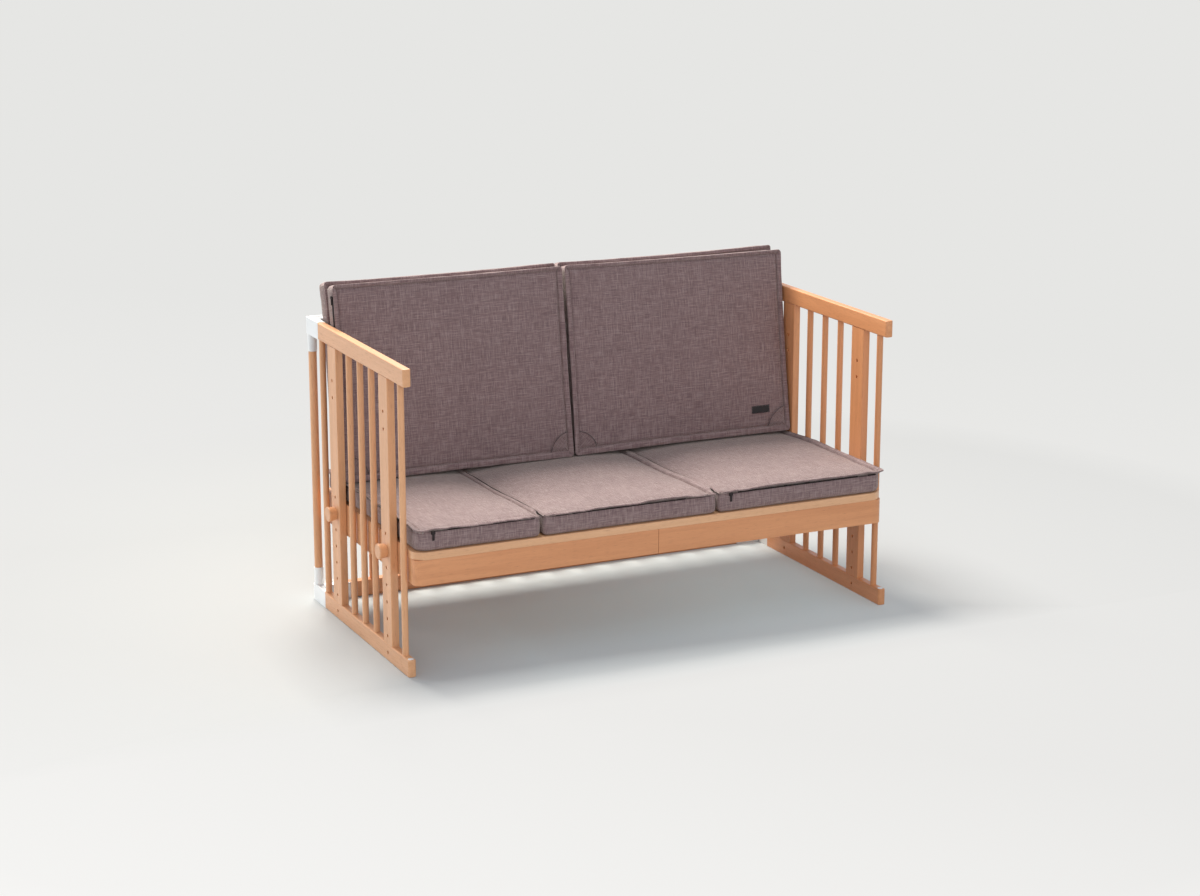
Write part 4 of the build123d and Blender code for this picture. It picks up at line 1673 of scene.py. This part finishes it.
@dataclass
class BackCushions:
    """The two rows of back pads, which lean on the fence and stand on the seat."""

    bracket_front_y: float = 285 * MM
    bracket_top_z: float = 700 * MM
    rest_gap: float = 0.3 * MM
    lean: float = math.radians(7.2)
    tall: float = 455 * MM
    thick: float = 54 * MM
    layer_gap: float = 3.6 * MM
    centre_gap: float = 6 * MM
    half_width: float = 596 * MM
    flange: float = 3 * MM
    corner: float = 10 * MM
    first_seed: float = 101.7
    seed_step: float = 7.9
    zip_start: float = 30 * MM
    zip_end: float = 25 * MM
    zip_drop: float = 10.0 * MM
    zip_tall: float = 8.0 * MM
    fillings: dict[Layer, dict[str, float]] = field(default_factory=lambda: {
        Layer.REAR: {"crown": 0.8 * MM, "voxel": 7.5 * MM, "swell_cap": 1.4 * MM, "draw_in": 3.5 * MM,
                     "tuck": 0.5 * MM},
        Layer.FRONT: {"crown": 5 * MM, "voxel": 6.5 * MM, "swell_cap": 8.0 * MM, "draw_in": 1.8 * MM,
                      "tuck": 2.0 * MM}})
    patch_radii: dict[Side, Span] = field(default_factory=lambda: {
        Side.LEFT: (55 * MM, 56 * MM), Side.RIGHT: (52 * MM, 58 * MM)})
    pads: dict[tuple[Layer, Side], SewnPad] = field(default_factory=dict)

    def axes(self) -> tuple[Vector, Vector, Vector]:
        """Give the pads' axes: across, up the lean, and forwards out of the face."""
        s, c = math.sin(self.lean), math.cos(self.lean)
        return Vector((1, 0, 0)), Vector((0, s, c)), Vector((0, -c, s))

    def foot(self, layer: Layer, seat: SeatCushions) -> Vector:
        """Find where a row's rear foot stands on the seat.

        Args:
            layer: The row.
            seat: The seat, for the height of its top.

        Returns:
            The point in the middle of the sofa.
        """
        _, up, out = self.axes()
        steps = 1 if layer is Layer.FRONT else 0
        face = Vector((0, self.bracket_front_y - self.rest_gap, self.bracket_top_z))
        face = face + out * (steps * (self.thick + self.layer_gap))
        near = face - up * ((face.z - seat.base_z - seat.thick) / up.z)
        share = (near.y - seat.front_y) / (seat.depth / 2) - 1
        top = seat.base_z + seat.thick + seat.crown * (1 - share * share)
        return face - up * ((face.z - top - self.rest_gap) / up.z)

    def moves(self, layer: Layer, side: Side) -> tuple[Triple, ...]:
        """Give how a pad's corners settle.

        Args:
            layer: The pad's row.
            side: The pad's end of the sofa.

        Returns:
            The shifts of the lower left, lower right, upper right and upper left corner.
        """
        if layer is Layer.REAR:
            shifts = ((0, -6), (0, -6), (0, 0), (0, 0))
        elif side is Side.LEFT:
            shifts = ((0, -8), (-6, -8), (-11, -1), (0, 0))
        else:
            shifts = ((-5, -7), (-1, -6), (-6, -5), (-7, 0))
        return tuple((across * MM, up * MM, 0.0) for across, up in shifts)

    def lips(self, layer: Layer, side: Side) -> tuple[Lip, Lip, Lip, Lip]:
        """Give the flange's sides for a pad.

        Args:
            layer: The pad's row.
            side: The pad's end of the sofa.

        Returns:
            The foot, the right side, the top and the left side.
        """
        if layer is Layer.REAR:
            return (Lip(reach=2.5 * MM, inset=7 * MM, lift=-1.6 * MM, wave=0.3 * MM),) * 4
        foot = Lip(reach=5.4 * MM, inset=10.5 * MM, lift=-0.2 * MM, wave=1.6 * MM, roll=1.6)
        inner = Lip(reach=4.8 * MM, lift=1.0 * MM, wave=1.6 * MM, roll=1.4)
        outer = Lip(reach=3.4 * MM, lift=1.0 * MM, wave=1.6 * MM, roll=1.4)
        if side is Side.LEFT:
            return (foot, inner, Lip(inset=6.0 * MM, lift=0.4 * MM, wave=2.6 * MM, roll=1.2), outer)
        return (foot, outer, Lip(inset=6.0 * MM, lift=0.4 * MM, wave=1.0 * MM, roll=1.2), inner)

    def plan(self, seat: SeatCushions) -> list[SewnPad]:
        """Lay out the four pads.

        Args:
            seat: The seat that they stand on.

        Returns:
            The pads.
        """
        across, up, out = self.axes()
        middle = (self.half_width + self.centre_gap / 2) / 2
        for number, (layer, side) in enumerate(product(Layer, Side), 1):
            centre = middle if side is Side.RIGHT else -middle
            place = f"{layer.value}_{side.value}"
            self.pads[layer, side] = SewnPad(
                name="back_cushion_" + place, node="back_pad_" + place, body="back_pad_" + place,
                long=self.half_width - self.centre_gap / 2 - 2 * self.flange,
                wide=self.tall - 2 * self.flange, thick=self.thick, corners=(self.corner,) * 4,
                lips=self.lips(layer, side), axes=(across, up, out),
                origin=self.foot(layer, seat) + across * centre + up * (self.tall / 2),
                seed=self.first_seed + self.seed_step * number, moves=self.moves(layer, side),
                **self.fillings[layer])
        return list(self.pads.values())

    def patches(self, side: Side) -> list[CornerPatch]:
        """Give the corner patches of a front pad."""
        return [CornerPatch(corner, radius) for corner, radius in enumerate(self.patch_radii[side])]

    def zips(self) -> list[tuple[SewnPad, ZipRun]]:
        """Give the zip on the left front pad's outer side.

        Returns:
            The pad with its zip.
        """
        pad = self.pads[Layer.FRONT, Side.LEFT]
        half = pad.wide / 2
        return [(pad, ZipRun(Edge.LEFT, -half + self.zip_start, half - self.zip_end, self.zip_drop,
                             self.zip_tall))]


@dataclass
class SewingRoom:
    """Fills, shapes and sews all pads, and adds their small parts."""

    seat: SeatCushions
    back: BackCushions
    wardrobe: Wardrobe
    arc_share: float = 0.84
    shadow_cord_share: float = 0.97
    stitch: BeadRow = field(default_factory=lambda: BeadRow(4.2 * MM, 3.1 * MM, 0.9 * MM))
    # painted shade: the beads of the dark cord that stands for the shadow at the patches' round edges
    shadow_cord: BeadRow = field(default_factory=lambda: BeadRow(1.3 * MM, 2.4 * MM, 1.9 * MM, sway=0.2))
    tooth: BeadRow = field(default_factory=lambda: BeadRow(2.3 * MM, 3.4 * MM, 1.3 * MM, True, 0.0))

    def fill(self, pads: list[SewnPad]) -> None:
        """Args:
            pads: The pads.
        """
        for pad in pads:
            pad.cut_cover()
        for pad in pads:
            pad.sew_down()
        scene = bpy.context.scene
        for number in range(1, FILL_FRAMES + 1):
            scene.frame_set(number)
        for pad in pads:
            pad.take_filling()
            LOG.info("%s is filled", pad.name)
        scene.frame_set(1)

    def stitches(self, name: str, pads: list[SewnPad], more: list[Line]) -> None:
        """Stitch the flanges of the pads of one body.

        Args:
            name: The piece's name.
            pads: The pads of one body.
            more: More lines of stitches, each with True where it closes on itself.
        """
        thread = self.wardrobe.thread
        lines = [(pad.placed(pad.seam_line()), True) for pad in pads] + more
        add_piece(name, self.stitch.mesh(name, lines, thread), thread, pads[0].body)

    def zip_parts(self, name: str, runs: list[tuple[SewnPad, ZipRun]]) -> None:
        """Make the tapes and teeth of one body's zips.

        Args:
            name: The start of the pieces' names.
            runs: Each pad with its zip.
        """
        black, body = self.wardrobe.black_zip, runs[0][0].body
        tapes = [pad.laid(run.tape(pad)) for pad, run in runs]
        lines = [(pad.placed(run.tooth_line(pad)), False) for pad, run in runs]
        add_piece(name + "_tape", join_shells(name + "_tape", tapes), black, body)
        add_piece(name + "_teeth", self.tooth.mesh(name + "_teeth", lines, black), black, body)

    def label_on(self, pad: SewnPad) -> Line:
        """Add the blank label.

        Args:
            pad: The pad that carries it.

        Returns:
            The closed line of stitches round it.
        """
        label = BlankLabel()
        mesh = join_shells("blank_label", [pad.laid(label.shell(pad))])
        add_piece("blank_label", mesh, self.wardrobe.label, pad.body)
        return (pad.placed(label.border(pad)), True)

    def front_trim(self, side: Side) -> None:
        """Add a front back pad's patches, the dark cords that stand for the shadow at their round edges,
        label and stitches.

        Args:
            side: The pad's end of the sofa.
        """
        pad = self.back.pads[Layer.FRONT, side]
        patches = self.back.patches(side)
        pad.shells += [patch.shell(pad) for patch in patches]
        arcs = [(pad.placed(patch.arc(pad, self.arc_share)), False) for patch in patches]
        # painted shade: a dark cord along each patch's round edge stands for the shadow there
        edges = [(pad.placed(patch.arc(pad, self.shadow_cord_share)), False) for patch in patches]
        name = "back_patch_shadow_cord_" + side.value
        shadow_cord = self.wardrobe.shadow_cord
        add_piece(name, self.shadow_cord.mesh(name, edges, shadow_cord), shadow_cord, pad.body)
        if side is Side.RIGHT:
            arcs.append(self.label_on(pad))
        self.stitches("back_stitches_front_" + side.value, [pad], arcs)

    def work(self) -> None:
        """Make every pad and its small parts."""
        pads = self.seat.plan() + self.back.plan(self.seat)
        self.fill(pads)
        for pad in pads:
            pad.build()
        for side in Side:
            self.front_trim(side)
        self.stitches("seat_stitches", list(self.seat.pads.values()), [])
        self.zip_parts("seat_zip", self.seat.zips())
        self.zip_parts("back_zip", self.back.zips())
        for pad in pads:
            pad.finish(self.wardrobe)


@dataclass(frozen=True)
class Lamp:
    """A square soft lamp that faces a point, with its side in metres and its power in watts."""

    name: str
    place: Triple
    aim: Triple
    side: float
    power: float
    tint: Colour = (1.0, 1.0, 1.0)

    def hang(self) -> None:
        """Put the lamp in the scene."""
        light = bpy.data.lights.new(self.name, "AREA")
        light.shape = "SQUARE"
        light.size = self.side
        light.energy = self.power
        light.color = self.tint
        lamp = put(self.name, light)
        lamp.location = self.place
        lamp.rotation_euler = (Vector(self.aim) - Vector(self.place)).to_track_quat("-Z", "Y").to_euler()


@dataclass(frozen=True)
class StudioFloor:
    """The pale floor, which keeps the shadow near the object and is plain further off.

    Each span is a range of places in metres, along X or Y, along X and Y together, or away
    from the middle. The masks and shades that go with them are shares.
    """

    bright: Colour = linear(248, 247, 245)
    pale: Colour = linear(237, 236, 234)
    dim: Colour = linear(230, 230, 228)
    cool_shadow: Colour = (0.88, 1.0, 1.03)
    half: float = 60.0
    shown_share: float = 0.565
    rear_share: float = 0.78
    bounce_share: float = 0.58
    under_gain: float = 0.62
    pale_slant: Span = (-2.8, -1.0)
    dim_slant: Span = (-1.0, 4.5)
    dim_away: Span = (5.0, 14.0)
    under_right: Span = (0.46, 0.8)
    under_left: Span = (-0.72, -0.3)
    under_depth: Span = (0.12, 0.5)
    under_shift: float = 0.08
    evened_depth: Span = (-0.6, 1.0)
    plain_away: Span = (0.85, 2.1)
    plain_right: Span = (0.66, 1.05)
    plain_front: Span = (-0.34, -0.55)
    plain_across: Span = (-0.25, 0.3)
    right_plainness: Span = (0.0, 0.8)
    front_plainness: Span = (0.0, 0.85)
    across_plainness: Span = (0.05, 0.22)

    def tone(self, plan: ShaderPlan, x: object, y: object, away: object) -> object:
        """Give the floor's colour, with painted light in it: brightest at the front left, and dim far off.

        Args:
            plan: The material's plan.
            x: The socket with the place along X.
            y: The socket with the place along Y.
            away: The socket with the distance from the middle.

        Returns:
            The socket that holds the colour.
        """
        slant = plan.reckon("ADD", x, y)
        tone = plan.mixed(plan.spread(slant, self.pale_slant), self.bright, self.pale)
        tone = plan.mixed(plan.spread(slant, self.dim_slant), tone, self.dim)
        return plan.mixed(plan.spread(away, self.dim_away), tone, self.dim)

    def under_seat(self, plan: ShaderPlan, x: object, y: object) -> object:
        """Mask the floor under the seat, where the shadow is lifted and cooled.

        Args:
            plan: The material's plan.
            x: The socket with the place along X.
            y: The socket with the place along Y.

        Returns:
            The socket that holds the mask.
        """
        across = plan.reckon("MULTIPLY", plan.spread(x, self.under_right, (1.0, 0.0)),
                             plan.spread(x, self.under_left))
        depth = plan.reckon("ABSOLUTE", plan.reckon("ADD", y, self.under_shift))
        return plan.reckon("MULTIPLY", across, plan.spread(depth, self.under_depth, (1.0, 0.0)))

    def plainness(self, plan: ShaderPlan, x: object, y: object, away: object) -> object:
        """Tell how far the floor shows its own colour alone, without the light on it.

        Args:
            plan: The material's plan.
            x: The socket with the place along X.
            y: The socket with the place along Y.
            away: The socket with the distance from the middle.

        Returns:
            The socket that holds the share.
        """
        share = plan.spread(away, self.plain_away)
        for fade in (plan.spread(x, self.plain_right, self.right_plainness),
                     plan.spread(y, self.plain_front, self.front_plainness),
                     plan.spread(x, self.plain_across, self.across_plainness)):
            share = plan.reckon("MAXIMUM", share, fade)
        return share

    def material(self) -> bpy.types.Material:
        """Build the floor's material.

        Returns:
            The material.
        """
        plan = ShaderPlan("pale_floor")
        where = plan.place()
        away = plan.add("ShaderNodeVectorMath", {0: where}, operation="LENGTH").outputs["Value"]
        parts = plan.add("ShaderNodeSeparateXYZ", {0: where}).outputs
        x, y = parts["X"], parts["Y"]
        light = plan.add("ShaderNodeLightPath").outputs
        mirrored = plan.reckon("MAXIMUM", light["Is Glossy Ray"], light["Is Transmission Ray"])
        seen = plan.reckon("MAXIMUM", light["Is Camera Ray"], mirrored)
        under = self.under_seat(plan, x, y)
        tone = plan.mixed(plan.reckon("MULTIPLY", under, seen), self.tone(plan, x, y, away),
                          self.cool_shadow, "MULTIPLY")
        # painted shade: the floor is made darker towards the rear, against the pool of light from the
        # overhead lamp
        evened = plan.spread(y, self.evened_depth, (self.shown_share, self.shown_share * self.rear_share))
        gain = plan.reckon("ADD", 1.0, plan.reckon("MULTIPLY", self.under_gain, under))
        more = plan.reckon("SUBTRACT", plan.reckon("MULTIPLY", evened, gain), self.bounce_share)
        cover = plan.reckon("ADD", plan.reckon("MULTIPLY", seen, more), self.bounce_share)
        shade = plan.add("ShaderNodeVectorMath", {0: tone, "Scale": cover}, operation="SCALE")
        plan.surface(Base_Color=shade.outputs[0], Roughness=0.9, Specular_IOR_Level=0.05)
        glow = plan.add("ShaderNodeEmission", {"Color": tone, "Strength": 1.0})
        share = plan.reckon("MULTIPLY", self.plainness(plan, x, y, away), seen)
        both = plan.add("ShaderNodeMixShader", {0: share, 1: plan.shader.outputs[0], 2: glow.outputs[0]})
        plan.feed(plan.end.inputs["Surface"], both.outputs[0])
        return plan.material

    def lay(self) -> None:
        """Lay the floor."""
        net = bmesh.new()
        bmesh.ops.create_grid(net, x_segments=8, y_segments=8, size=self.half)
        mesh = bpy.data.meshes.new("floor")
        net.to_mesh(mesh)
        net.free()
        floor = put("floor", mesh)
        mesh.materials.append(self.material())


@dataclass(frozen=True)
class Studio:
    """The floor, the sky, the soft lamps and the camera."""

    floor: StudioFloor = StudioFloor()
    sky: float = 0.6
    cool: Colour = (0.93, 1.0, 1.1)
    lamps: tuple[Lamp, ...] = (
        Lamp("overhead", (-0.3, 1.65, 3.4), (0.0, -0.1, 0.3), 1.4, 220.0, (1.02, 1.0, 0.93)),
        Lamp("left_rear", (-3.4, 2.4, 1.1), (-0.6, 0.0, 0.8), 1.5, 41.0),
        Lamp("front", (-1.0, -4.5, 2.2), (0.0, 0.0, 0.4), 2.0, 44.0))
    eye: Triple = (-2.4964, -5.2718, 1.8882)
    lens: float = 75.645
    sensor: float = 36.0
    reach: float = 200.0
    turn: float = -0.4427
    tilt: float = -0.2522

    def world(self) -> None:
        """Light the scene evenly from all round, with a pale look of its own."""
        world = bpy.data.worlds.new("studio")
        world.use_nodes = True
        world.node_tree.nodes.clear()
        plan = NodePlan(world.node_tree)
        soft = plan.add("ShaderNodeBackground", {"Color": (*self.cool, 1.0), "Strength": self.sky})
        look = plan.add("ShaderNodeBackground", {"Color": (*self.floor.dim, 1.0)})
        seen = plan.add("ShaderNodeLightPath").outputs["Is Camera Ray"]
        mix = plan.add("ShaderNodeMixShader", {0: seen, 1: soft.outputs[0], 2: look.outputs[0]})
        plan.add("ShaderNodeOutputWorld", {"Surface": mix.outputs[0]})
        bpy.context.scene.world = world

    def camera(self) -> None:
        """Set up the camera where the photograph was taken from."""
        data = bpy.data.cameras.new("camera")
        data.sensor_width = self.sensor
        data.lens = self.lens
        data.clip_end = self.reach
        camera = put("camera", data)
        camera.location = self.eye
        camera.rotation_euler = (math.pi / 2 + self.tilt, 0.0, self.turn)
        bpy.context.scene.camera = camera

    def build(self) -> None:
        """Build the floor, the light and the camera."""
        self.floor.lay()
        self.world()
        for lamp in self.lamps:
            lamp.hang()
        bpy.context.scene.view_settings.view_transform = "Standard"
        self.camera()


def main() -> None:
    """Build every part of the object and its stage, in order."""
    logging.basicConfig(level=logging.INFO, format="%(name)s: %(message)s")
    wardrobe = Wardrobe().build()
    WoodenFrame().dress(wardrobe)
    SewingRoom(SeatCushions(), BackCushions(), wardrobe).work()
    Studio().build()


if __name__ == "__main__":
    main()
